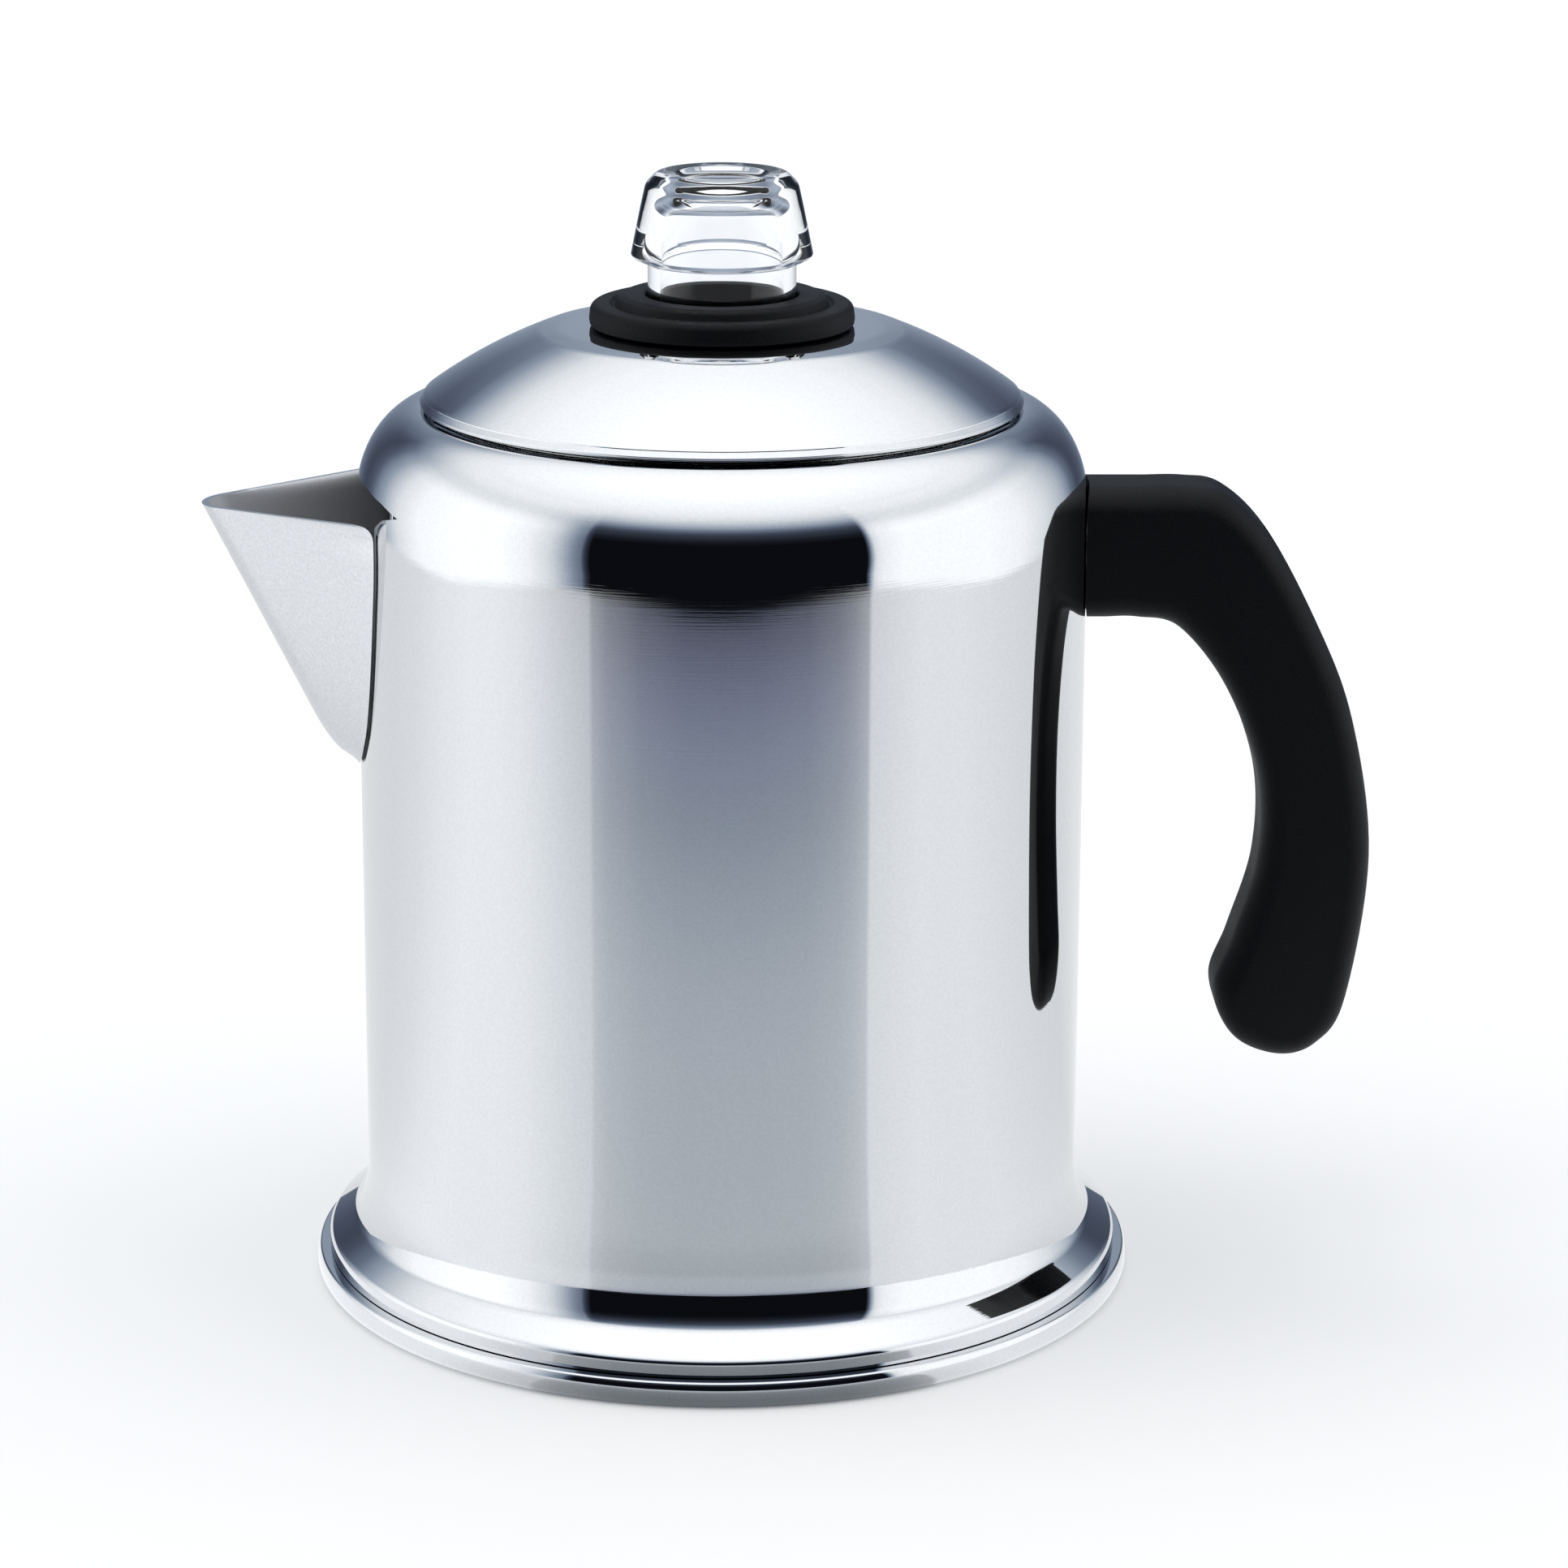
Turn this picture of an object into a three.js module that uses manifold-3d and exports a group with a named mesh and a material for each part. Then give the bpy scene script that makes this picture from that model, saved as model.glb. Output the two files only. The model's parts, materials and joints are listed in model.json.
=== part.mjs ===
// Stovetop coffee percolator: a flared steel pot with a spout and a moulded handle, a pump stem that
// carries a perforated basket and its spreader, and a domed lid with a clear twist-lock knob.
// Millimetres, +Z up. The origin is on the pot's axis, on the surface that it stands on.
// The spout points to -X and the handle to +X. Turned parts are profiles of [radius, height] points.

import * as THREE from "three";
import { ConvexGeometry } from "three/addons/geometries/ConvexGeometry.js";
import { mergeVertices } from "three/addons/utils/BufferGeometryUtils.js";
import Module from "manifold-3d";

const wasm = await Module();
wasm.setup();

// Clearances and sheet thicknesses
const GAP = 0.3; // between pieces that touch
const POT_SHEET = 1.0;
const THIN_SHEET = 0.8; // basket, spreader, skirt and lock ring

// Pot
const BODY_RADIUS = 72.5;
const BASE_HEIGHT = 5.3;
const BASE_RADIUS = 83.3;
const FLARE_RADIUS = 80.8;
const SHOULDER_START = 160.3;
const SHOULDER_TOP = 179.1;
const SHOULDER_REACH = 13.5; // how far the shoulder comes in
const NECK_RADIUS = 54.5; // clear radius of the mouth
const NECK_ROLL = 3; // outer radius of the rolled lip
const NECK_BOTTOM = 170.5;

// The flare from its upright band up to the wall: a rounded edge, a sloping ledge and a hollow sweep
const FLARE_LINE = [
  [FLARE_RADIUS, BASE_HEIGHT + GAP],
  [FLARE_RADIUS, 8],
  [80.6, 8.9],
  [79.9, 9.7],
  [77.8, 10.9],
  [75.7, 11.8],
  [75.1, 12.4],
  [74.3, 14.2],
  [73.3, 17.3],
  [72.8, 20],
  [BODY_RADIUS, 23.5],
];

const LIP_RADIUS = 76; // inner edge of the bottom's rolled rim
const CAP_RADIUS = 74;
const CAP_THICKNESS = 1;

// Spout and the slot in the wall behind it
const SPOUT_RIM_RISE = 0.04; // rim rise per millimetre towards the pot
const SPOUT_SHEET = 1.2;
const SPOUT_ROOT = -62; // where the spout's sides would end inside the pot
const SPOUT_NOSE_SPREAD = 55; // half angle of the rounded nose, in degrees

// Outlines of the spout from the rim down: [height, nose, nose radius, half width at the root]
const SPOUT_LEVELS = [
  [159.3, -103.2, 8.5, 29],
  [115.6, -81.2, 18, 21],
  [111.1, -78.5, 16, 16],
  [107.6, -75.5, 12, 11],
  [105.1, -73, 8, 7],
];

// Half of the slot's outline from the top down: [half width, height]
const SLOT_OUTLINE = [
  [30, 165.3],
  [37, 163.9],
  [27, 160.7],
  [24, 157.1],
  [17, 119.1],
  [11, 110.6],
];

// Handle
const HANDLE_WIDTH = 23;
const HANDLE_TOP = 163.7;
const HANDLE_UNDERSIDE = 137.2;
const HANDLE_EDGE = 5; // outline's rounding
const HANDLE_CROWN = 7; // the same rounding, measured across the width
const HANDLE_SHOULDER = 92; // where the level top starts to bend down

// Bend of the handle after its level top, down the outside and back up the inside
const HANDLE_BEND = [
  [99.5, 162.2],
  [108.4, 153.7],
  [118.4, 136],
  [126.3, 115.9],
  [130.6, 87.8],
  [126.8, 57.8],
  [121.2, 48.2],
  [113.3, 45.6],
  [104.1, 49.4],
  [99.8, 59.2],
  [103.2, 69.7],
  [107.9, 86.3],
  [107.6, 104.3],
  [100.9, 122.4],
  [91.1, 135],
  [82.6, HANDLE_UNDERSIDE],
];

// Screw, washer and boss that hold the handle
const SCREW_HEIGHT = 150.4;
const SCREW_RADIUS = 2;
const SCREW_SEAT = 101; // bottom of the counterbore, from the pot's axis
const SCREW_HEAD_RADIUS = 3.8;
const SCREW_HEAD_HEIGHT = 2.4;
const WASHER_THICKNESS = 1;
const SCREW_HEAD_START = SCREW_SEAT + WASHER_THICKNESS + 2 * GAP;
const BOSS_RADIUS = 5.8;
const BOSS_END = 79.6;

// Pump stem
const STEM_RADIUS = 4.8;
const STEM_WALL = 0.8;
const STEM_BOTTOM = 19;
const STEM_TOP = 192.5;
const FOOT_RADIUS = 30;
const FOOT_THROAT = 17; // height where the bell narrows to its sleeve
const FOOT_TOP = 27;
const VALVE_SEAT_TOP = 10;
const VALVE_HOLE = 3.5;
const VALVE_RADIUS = 9;
const STOP_TOP = 95;

// Basket and spreader
const BASKET_RADIUS = 48.8;
const BASKET_BOTTOM = 96.6;
const BASKET_RIM = 151;
const BASKET_CURL = 1.8; // how far the basket's rim stands out
const SLEEVE_INNER = STEM_RADIUS + 0.5;
const SLEEVE_OUTER = SLEEVE_INNER + 1;
const SLEEVE_TOP = 128;
const SPREADER_MIDDLE = 149.4; // underside of the tray beside its hub
const SPREADER_GUTTER = 146.6; // underside of the tray near its rim
const HUB_BOTTOM = 144;
const HUB_FLANGE = 150.5;
const HUB_TOP = 158;
const HOLE_SIDES = 6;

// Lid, collar and knob
const LID_RADIUS = 59.6;
const LID_EDGE = 179.9; // lower edge of the lid's rim
const LID_BEVEL = 0.8; // width of the rim's sloping band
const LID_SPHERE = 100; // radius of the dome
const LID_SPHERE_CENTRE = 100.8; // height of the dome's centre
const LID_SPHERE_START = 36; // the dome is nearly flat inside this radius
const LID_SEAT = 194.8; // flat middle that the collar sits on
const LID_SEAT_RADIUS = 26.2;
const LID_HOLE = 18;
const SKIRT_BOTTOM = 168.5;
const SKIRT_TOP = 181;
const COLLAR_BORE = 15.1;
const COLLAR_BOTTOM = 192.3;
const LOCK_RADIUS = 24;
const LOCK_NOTCH = 18.4; // how far out the lock ring's notches reach
const KNOB_NECK = 14.6;
const KNOB_BORE = 12;
const KNOB_BOTTOM = 186.6;
const KNOB_TOP = 225.2;
const LUGS = 3;
const LUG_RADIUS = 17.6;
const LUG_BOTTOM = 188.3;
const LUG_TOP = 190.8;
const LUG_SPREAD = 36; // degrees round the neck

// Facets round a full turn
const FINE = 36;
const MEDIUM = 24;
const COARSE = 16;

// ---- Shape helpers ----

const radians = THREE.MathUtils.degToRad;

// Points of a circular arc or elliptical arc, angles in degrees, from the centre (x, z).
function arc(x, z, radius, from, to, steps, height = radius) {
  const points = [];
  for (let i = 0; i <= steps; i += 1) {
    const angle = radians(from + ((to - from) * i) / steps);
    points.push([x + radius * Math.cos(angle), z + height * Math.sin(angle)]);
  }
  return points;
}

// Turns a THREE geometry into a solid.
function solid(geometry) {
  const bare = geometry.index ? geometry.toNonIndexed() : geometry.clone();
  bare.deleteAttribute("normal");
  bare.deleteAttribute("uv");
  const merged = mergeVertices(bare, 1e-3);
  const mesh = new wasm.Mesh({
    numProp: 3,
    vertProperties: merged.attributes.position.array,
    triVerts: new Uint32Array(merged.index.array),
  });
  return new wasm.Manifold(mesh);
}

// Turns a closed profile of [radius, height] points about Z.
function revolve(profile, facets) {
  const loop = profile.map(([radius, height]) => new THREE.Vector2(radius, height));
  const area = THREE.ShapeUtils.area(loop);
  const onAxis = profile[0][0] === 0;
  if (!onAxis) loop.push(loop[0].clone());
  if (area < 0) loop.reverse();
  const geometry = new THREE.LatheGeometry(loop, facets);
  geometry.rotateX(Math.PI / 2);
  return solid(geometry);
}

// Upright tube between two heights.
function ring(inner, outer, bottom, top, facets) {
  const profile = [
    [inner, bottom],
    [outer, bottom],
    [outer, top],
    [inner, top],
  ];
  return revolve(profile, facets);
}

// Solid cylinder about the Z axis.
function drum(radius, bottom, top, facets) {
  const geometry = new THREE.CylinderGeometry(radius, radius, top - bottom, facets);
  geometry.rotateX(Math.PI / 2);
  geometry.translate(0, 0, (top + bottom) / 2);
  return solid(geometry);
}

// The space that the pot's straight wall takes up, for cutting what is fitted to the wall.
function potDrum() {
  return drum(BODY_RADIUS + GAP, 0, KNOB_TOP, FINE * 2);
}

// Solid cylinder along X, at the height of the handle's screw.
function crossBar(radius, from, to, facets) {
  const geometry = new THREE.CylinderGeometry(radius, radius, to - from, facets);
  geometry.rotateZ(Math.PI / 2);
  geometry.translate((from + to) / 2, 0, SCREW_HEIGHT);
  return solid(geometry);
}

function block(width, depth, height, x, y, z) {
  const geometry = new THREE.BoxGeometry(width, depth, height);
  geometry.translate(x, y, z);
  return solid(geometry);
}

// Copies of a tool spread evenly round the Z axis, as one solid.
function aroundAxis(tool, count, firstAngle = 0) {
  const copies = [];
  for (let i = 0; i < count; i += 1) {
    copies.push(tool.rotate([0, 0, firstAngle + (360 * i) / count]));
  }
  return wasm.Manifold.union(copies);
}

// Rings of small upright holes; each row is [ring radius, number of holes].
function holeRings(rows, radius, bottom, top) {
  const rings = rows.map(([distance, count]) => {
    const hole = drum(radius, bottom, top, HOLE_SIDES).translate([distance, 0, 0]);
    return aroundAxis(hole, count);
  });
  return wasm.Manifold.union(rings);
}

const group = new THREE.Group();

function addPiece(name, shape, finish) {
  const raw = shape.getMesh();
  const geometry = new THREE.BufferGeometry();
  geometry.setAttribute("position", new THREE.BufferAttribute(raw.vertProperties, 3));
  geometry.setIndex(new THREE.BufferAttribute(raw.triVerts, 1));
  geometry.computeVertexNormals();
  const piece = new THREE.Mesh(geometry, new THREE.MeshStandardMaterial(finish));
  piece.name = name;
  group.add(piece);
}

// ---- Finishes ----

const satinSteel = { color: 0xc6c9d0, roughness: 0.3, metalness: 1 };
const polishedSteel = { color: 0xd4d7dd, roughness: 0.08, metalness: 1 };
const innerSteel = { color: 0xb9bcc2, roughness: 0.35, metalness: 1 };
const aluminium = { color: 0xb4b6ba, roughness: 0.5, metalness: 1 };
const blackPlastic = { color: 0x14141a, roughness: 0.55, metalness: 0 };
const clearPlastic = { color: 0xeef2f6, roughness: 0.03, metalness: 0 };

// ---- Pot ----

// A line of [radius, height] points moved to its left, as seen from its start, by inset.
function moveLeft(line, inset) {
  const points = line.map(([x, z]) => new THREE.Vector2(x, z));
  return points.map((point, i) => {
    const before = points[Math.max(i - 1, 0)];
    const after = points[Math.min(i + 1, points.length - 1)];
    const into = i === 0 ? after.clone().sub(point) : point.clone().sub(before);
    const out = i === points.length - 1 ? into.clone() : after.clone().sub(point);
    const sum = into.normalize().add(out.normalize());
    const stretch = 2 / sum.length();
    const left = new THREE.Vector2(-sum.y, sum.x).setLength(inset * stretch);
    return [point.x + left.x, point.y + left.y];
  });
}

// One side of the pot's sheet, from the flare's band up to the shoulder's crest, moved in by inset.
function potWallLine(inset) {
  const shoulderCentre = BODY_RADIUS - SHOULDER_REACH;
  const shoulderWidth = SHOULDER_REACH - inset;
  const shoulderRise = SHOULDER_TOP - SHOULDER_START - inset;
  return [
    ...moveLeft(FLARE_LINE, inset),
    ...arc(shoulderCentre, SHOULDER_START, shoulderWidth, 0, 90, 4, shoulderRise),
  ];
}

// The rolled lip that turns down into the mouth, moved in by inset.
function neckLine(inset) {
  const rollCentre = NECK_RADIUS + NECK_ROLL;
  return [
    ...arc(rollCentre, SHOULDER_TOP - NECK_ROLL, NECK_ROLL - inset, 90, 180, 2),
    [NECK_RADIUS + inset, NECK_BOTTOM],
  ];
}

// Slot behind the spout: a wide slit under the shoulder that narrows into a rounded V.
function wallSlot() {
  const right = SLOT_OUTLINE.map(([y, z]) => new THREE.Vector2(y, z));
  const left = SLOT_OUTLINE.map(([y, z]) => new THREE.Vector2(-y, z));
  const outline = new THREE.Shape([...right, ...left.reverse()]);
  const geometry = new THREE.ExtrudeGeometry(outline, { depth: 40, bevelEnabled: false });
  geometry.rotateX(Math.PI / 2);
  geometry.rotateZ(Math.PI / 2);
  geometry.translate(-90, 0, 0);
  return solid(geometry);
}

function potShell() {
  const outside = [...potWallLine(0), ...neckLine(0)];
  const inside = [...potWallLine(POT_SHEET), ...neckLine(POT_SHEET)];
  return revolve([...outside, ...inside.reverse()], FINE).subtract(wallSlot());
}

// Pressed bottom: the pot's floor with a rim that rolls down and in under itself.
function basePlate() {
  const corner = 2.5;
  const bead = 1;
  const inner = corner - POT_SHEET;
  const cornerCentre = BASE_RADIUS - corner;
  const profile = [
    [0, BASE_HEIGHT],
    [BASE_RADIUS - bead, BASE_HEIGHT],
    [BASE_RADIUS - 0.4, BASE_HEIGHT - 0.4],
    ...arc(cornerCentre, corner, corner, 0, -90, 2),
    [LIP_RADIUS, 0],
    [LIP_RADIUS, POT_SHEET],
    ...arc(cornerCentre, corner, inner, -90, 0, 1),
    [BASE_RADIUS - POT_SHEET, BASE_HEIGHT - POT_SHEET],
    [0, BASE_HEIGHT - POT_SHEET],
  ];
  return revolve(profile, FINE);
}

// Aluminium disc that spreads the heat, and the steel cap that covers it.
function heatDisc() {
  return drum(CAP_RADIUS - 3, CAP_THICKNESS + GAP, BASE_HEIGHT - POT_SHEET - GAP, MEDIUM);
}

function baseCap() {
  const chamfer = 0.6;
  const profile = [
    [0, 0],
    [CAP_RADIUS - chamfer, 0],
    [CAP_RADIUS, chamfer],
    [CAP_RADIUS, CAP_THICKNESS],
    [0, CAP_THICKNESS],
  ];
  return revolve(profile, MEDIUM);
}

// ---- Spout ----

// The rim level carried on in a straight line, above the rim by lift.
function raisedLevel(lift) {
  const [rim, below] = SPOUT_LEVELS;
  const share = lift / (rim[0] - below[0]);
  return rim.map((value, i) => value + (value - below[i]) * share);
}

// Corner points of one level: an arc round the nose and the two ends of the sides.
function levelPoints([height, nose, noseRadius, halfWidth], inset, tilt) {
  const from = 180 - SPOUT_NOSE_SPREAD;
  const to = 180 + SPOUT_NOSE_SPREAD;
  const points = arc(nose + inset + noseRadius, 0, noseRadius, from, to, 6);
  points.push([SPOUT_ROOT, halfWidth - inset], [SPOUT_ROOT, inset - halfWidth]);
  return points.map(([x, y]) => new THREE.Vector3(x, y, height + tilt * (x - nose)));
}

// The filled spout, smaller by inset all round and with its rim raised by lift.
function spoutHull(inset, lift) {
  const points = levelPoints(raisedLevel(lift), inset, SPOUT_RIM_RISE);
  SPOUT_LEVELS.slice(1).forEach((level) => {
    points.push(...levelPoints([level[0] + inset, ...level.slice(1)], inset, 0));
  });
  return solid(new ConvexGeometry(points));
}

function spout() {
  return spoutHull(0, 0).subtract(spoutHull(SPOUT_SHEET, 4)).subtract(potDrum());
}

// ---- Handle ----

// Side outline of the handle; it starts inside the pot, where the wall cuts it off.
function handleOutline() {
  const outline = new THREE.Shape();
  outline.moveTo(BODY_RADIUS - 4, HANDLE_UNDERSIDE);
  outline.lineTo(BODY_RADIUS - 4, HANDLE_TOP);
  outline.lineTo(HANDLE_SHOULDER, HANDLE_TOP);
  outline.splineThru(HANDLE_BEND.map(([x, z]) => new THREE.Vector2(x, z)));
  return outline;
}

// Moulded handle, hollowed to fit the pot's wall, the boss and the screw.
function handle() {
  const geometry = new THREE.ExtrudeGeometry(handleOutline(), {
    depth: HANDLE_WIDTH - 2 * HANDLE_CROWN,
    curveSegments: 2,
    bevelSize: HANDLE_EDGE,
    bevelOffset: -HANDLE_EDGE,
    bevelThickness: HANDLE_CROWN,
    bevelSegments: 2,
  });
  geometry.translate(0, 0, HANDLE_CROWN - HANDLE_WIDTH / 2);
  geometry.rotateX(Math.PI / 2);
  const bossPocket = crossBar(BOSS_RADIUS + GAP, BODY_RADIUS - 5, BOSS_END + GAP, COARSE);
  const shankHole = crossBar(SCREW_RADIUS + GAP, BODY_RADIUS, SCREW_SEAT + 1, COARSE / 2);
  const counterbore = crossBar(SCREW_HEAD_RADIUS + GAP, SCREW_SEAT, SCREW_SEAT + 30, COARSE);
  const tools = [potDrum(), bossPocket, shankHole, counterbore];
  return solid(geometry).subtract(wasm.Manifold.union(tools));
}

// Threaded boss that is welded to the wall.
function handleBoss() {
  const threadHole = crossBar(SCREW_RADIUS + GAP, BODY_RADIUS - 2, BOSS_END + 1, COARSE / 2);
  const boss = crossBar(BOSS_RADIUS, BODY_RADIUS - 3, BOSS_END, COARSE);
  return boss.subtract(potDrum()).subtract(threadHole);
}

function handleWasher() {
  const start = SCREW_SEAT + GAP;
  const disc = crossBar(SCREW_HEAD_RADIUS, start, start + WASHER_THICKNESS, COARSE);
  return disc.subtract(crossBar(SCREW_RADIUS + GAP, start - 1, SCREW_HEAD_START + 1, COARSE / 2));
}

function handleScrew() {
  const headEnd = SCREW_HEAD_START + SCREW_HEAD_HEIGHT;
  const slotWidth = 1;
  const slotLength = 2 * SCREW_HEAD_RADIUS + 2;
  const head = crossBar(SCREW_HEAD_RADIUS, SCREW_HEAD_START, headEnd, COARSE);
  const shank = crossBar(SCREW_RADIUS, BODY_RADIUS + 2, SCREW_HEAD_START + 1, COARSE / 2);
  const slot = block(2, slotWidth, slotLength, headEnd, 0, SCREW_HEIGHT);
  return head.add(shank).subtract(slot);
}

// ---- Pump stem ----

function pumpTube() {
  return ring(STEM_RADIUS - STEM_WALL, STEM_RADIUS, STEM_BOTTOM, STEM_TOP, COARSE);
}

// Bell foot with a sleeve round the stem; water comes in through four notches in its rim.
function pumpFoot() {
  const bottom = BASE_HEIGHT + GAP;
  const bore = STEM_RADIUS - STEM_WALL;
  const sleeve = STEM_RADIUS + GAP;
  const ledge = STEM_BOTTOM - 2 * GAP; // the stem ends just above it
  const profile = [
    [FOOT_RADIUS, bottom],
    [FOOT_RADIUS, bottom + 2],
    [9.4, FOOT_THROAT],
    [sleeve + 1, FOOT_THROAT + 2.4],
    [sleeve + 1, FOOT_TOP],
    [sleeve, FOOT_TOP],
    [sleeve, ledge],
    [bore, ledge],
    [bore, ledge - 0.8],
    [8.6, FOOT_THROAT - 1],
    [FOOT_RADIUS - 1, bottom + 1.6],
    [FOOT_RADIUS - 1, bottom],
  ];
  const notch = block(8, 7, 2, FOOT_RADIUS, 0, bottom);
  return revolve(profile, MEDIUM).subtract(aroundAxis(notch, 4, 45));
}

// Plate inside the bell with the hole that the valve disc covers.
function valveSeat() {
  const bottom = VALVE_SEAT_TOP - 1;
  const profile = [
    [VALVE_HOLE, bottom],
    [22.6, bottom],
    [20.4, VALVE_SEAT_TOP],
    [VALVE_HOLE, VALVE_SEAT_TOP],
  ];
  return revolve(profile, MEDIUM);
}

function valveDisc() {
  const bottom = VALVE_SEAT_TOP + GAP;
  return drum(VALVE_RADIUS, bottom, bottom + 1, COARSE);
}

// Collar on the stem that stops the basket.
function basketStop() {
  const inner = STEM_RADIUS + GAP;
  const profile = [
    [inner, STOP_TOP - 3],
    [inner + 1.6, STOP_TOP - 3],
    [inner + 3, STOP_TOP - 1],
    [inner + 3, STOP_TOP],
    [inner, STOP_TOP],
  ];
  return revolve(profile, COARSE);
}

// ---- Basket and spreader ----

// Guide tube in the middle of the basket, with the foot flange that rests on the stop.
function basketSleeve() {
  const bottom = STOP_TOP + GAP;
  const flange = SLEEVE_OUTER + 4;
  const profile = [
    [SLEEVE_INNER, bottom],
    [flange, bottom],
    [flange, bottom + 1],
    [SLEEVE_OUTER, bottom + 1],
    [SLEEVE_OUTER, SLEEVE_TOP],
    [SLEEVE_INNER, SLEEVE_TOP],
  ];
  return revolve(profile, COARSE);
}

function basketCup() {
  const corner = 4;
  const inner = BASKET_RADIUS - THIN_SHEET;
  const cornerCentre = BASKET_RADIUS - corner;
  const cornerHeight = BASKET_BOTTOM + corner;
  const rimRadius = BASKET_RADIUS + BASKET_CURL;
  const profile = [
    [SLEEVE_OUTER + GAP, BASKET_BOTTOM],
    ...arc(cornerCentre, cornerHeight, corner, -90, 0, 2),
    [BASKET_RADIUS, BASKET_RIM - THIN_SHEET],
    [rimRadius, BASKET_RIM - THIN_SHEET],
    [rimRadius, BASKET_RIM],
    [inner, BASKET_RIM],
    ...arc(cornerCentre, cornerHeight, corner - THIN_SHEET, 0, -90, 2),
    [SLEEVE_OUTER + GAP, BASKET_BOTTOM + THIN_SHEET],
  ];
  const rows = [
    [18, 8],
    [34, 14],
  ];
  const holes = holeRings(rows, 1.6, BASKET_BOTTOM - 1, BASKET_BOTTOM + 2);
  return revolve(profile, MEDIUM).subtract(holes);
}

// Perforated tray in the basket's mouth that spreads the water over the grounds.
function spreaderPlate() {
  const flangeBottom = BASKET_RIM + GAP;
  const flangeTop = flangeBottom + THIN_SHEET;
  const flangeRadius = BASKET_RADIUS + BASKET_CURL;
  const rim = BASKET_RADIUS - THIN_SHEET - 0.6;
  const gutter = rim - 4;
  const hole = SLEEVE_OUTER + GAP;
  const profile = [
    [hole, SPREADER_MIDDLE],
    [gutter, SPREADER_GUTTER],
    [rim, SPREADER_GUTTER + 0.8],
    [rim, flangeBottom],
    [flangeRadius, flangeBottom],
    [flangeRadius, flangeTop],
    [rim - THIN_SHEET, flangeTop],
    [rim - THIN_SHEET, SPREADER_GUTTER + 1.4],
    [gutter, SPREADER_GUTTER + THIN_SHEET],
    [hole, SPREADER_MIDDLE + THIN_SHEET],
  ];
  const rows = [
    [17, 8],
    [32, 14],
  ];
  const holes = holeRings(rows, 1.4, SPREADER_GUTTER - 2, SPREADER_MIDDLE + 2);
  return revolve(profile, MEDIUM).subtract(holes);
}

// Short tube that guides the spreader on the stem, with a flange over the plate.
function spreaderHub() {
  const flange = SLEEVE_OUTER + 3;
  const profile = [
    [SLEEVE_INNER, HUB_BOTTOM],
    [SLEEVE_OUTER, HUB_BOTTOM],
    [SLEEVE_OUTER, HUB_FLANGE],
    [flange, HUB_FLANGE],
    [flange, HUB_FLANGE + 1],
    [SLEEVE_OUTER, HUB_FLANGE + 1],
    [SLEEVE_OUTER, HUB_TOP],
    [SLEEVE_INNER, HUB_TOP],
  ];
  return revolve(profile, COARSE);
}

// ---- Lid ----

// One side of the lid's sheet, from the flat seat out to the rim, moved in by inset.
function lidLine(inset) {
  const sphere = LID_SPHERE - inset;
  const outerEnd = LID_RADIUS - LID_BEVEL;
  const from = 90 - THREE.MathUtils.radToDeg(Math.asin(LID_SPHERE_START / LID_SPHERE));
  const to = 90 - THREE.MathUtils.radToDeg(Math.asin(outerEnd / LID_SPHERE));
  const bevelBottom = LID_EDGE + 0.6;
  return [
    [LID_HOLE, LID_SEAT - inset],
    [LID_SEAT_RADIUS, LID_SEAT - inset],
    [LID_SEAT_RADIUS + 4.8, LID_SEAT - 0.1 - inset],
    ...arc(0, LID_SPHERE_CENTRE, sphere, from, to, 3),
    [LID_RADIUS - inset, bevelBottom - inset / 2],
    [LID_RADIUS - inset, LID_EDGE],
  ];
}

function lidDome() {
  return revolve([...lidLine(0), ...lidLine(POT_SHEET - 0.1).reverse()], FINE);
}

// Skirt that grips the mouth of the pot, with a flange under the dome's rim.
function lidSkirt() {
  const outer = NECK_RADIUS - 0.5;
  const flange = outer + 1.7;
  const profile = [
    [outer - THIN_SHEET, SKIRT_BOTTOM],
    [outer, SKIRT_BOTTOM],
    [outer, SKIRT_TOP - THIN_SHEET],
    [flange, SKIRT_TOP - THIN_SHEET],
    [flange, SKIRT_TOP],
    [outer - THIN_SHEET, SKIRT_TOP],
  ];
  return revolve(profile, FINE);
}

// Black heat-proof collar between the knob and the lid, stepped on top, with a boss through the lid.
function lidCollar() {
  const seat = LID_SEAT + GAP;
  const profile = [
    [COLLAR_BORE, COLLAR_BOTTOM],
    [LID_HOLE - GAP, COLLAR_BOTTOM],
    [LID_HOLE - GAP, seat],
    [25, seat],
    [26.1, 196.4],
    [25.8, 198.1],
    [24.4, 199.3],
    [21.4, 199.3],
    [20.6, 200.3],
    [19.4, 201.1],
    [COLLAR_BORE, 201.2],
  ];
  return revolve(profile, MEDIUM);
}

// Steel ring under the lid; the knob's lugs pass its notches and turn in under it.
function lockRing() {
  const top = COLLAR_BOTTOM - GAP;
  const bottom = top - THIN_SHEET;
  const notch = lugSector(LOCK_NOTCH, bottom - 1, top + 1, LUG_SPREAD + 8);
  const plate = ring(COLLAR_BORE, LOCK_RADIUS, bottom, top, MEDIUM);
  return plate.subtract(aroundAxis(notch, LUGS, 180 / LUGS));
}

// ---- Knob ----

// Wedge of a disc, spread over an angle in degrees that is centred on +X.
function lugSector(radius, bottom, top, spread) {
  const geometry = new THREE.CylinderGeometry(
    radius,
    radius,
    top - bottom,
    5,
    1,
    false,
    radians(90 - spread / 2),
    radians(spread),
  );
  geometry.rotateX(Math.PI / 2);
  geometry.translate(0, 0, (top + bottom) / 2);
  const points = [];
  const corners = geometry.attributes.position;
  for (let i = 0; i < corners.count; i += 1) {
    points.push(new THREE.Vector3().fromBufferAttribute(corners, i));
  }
  return solid(new ConvexGeometry(points));
}

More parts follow.
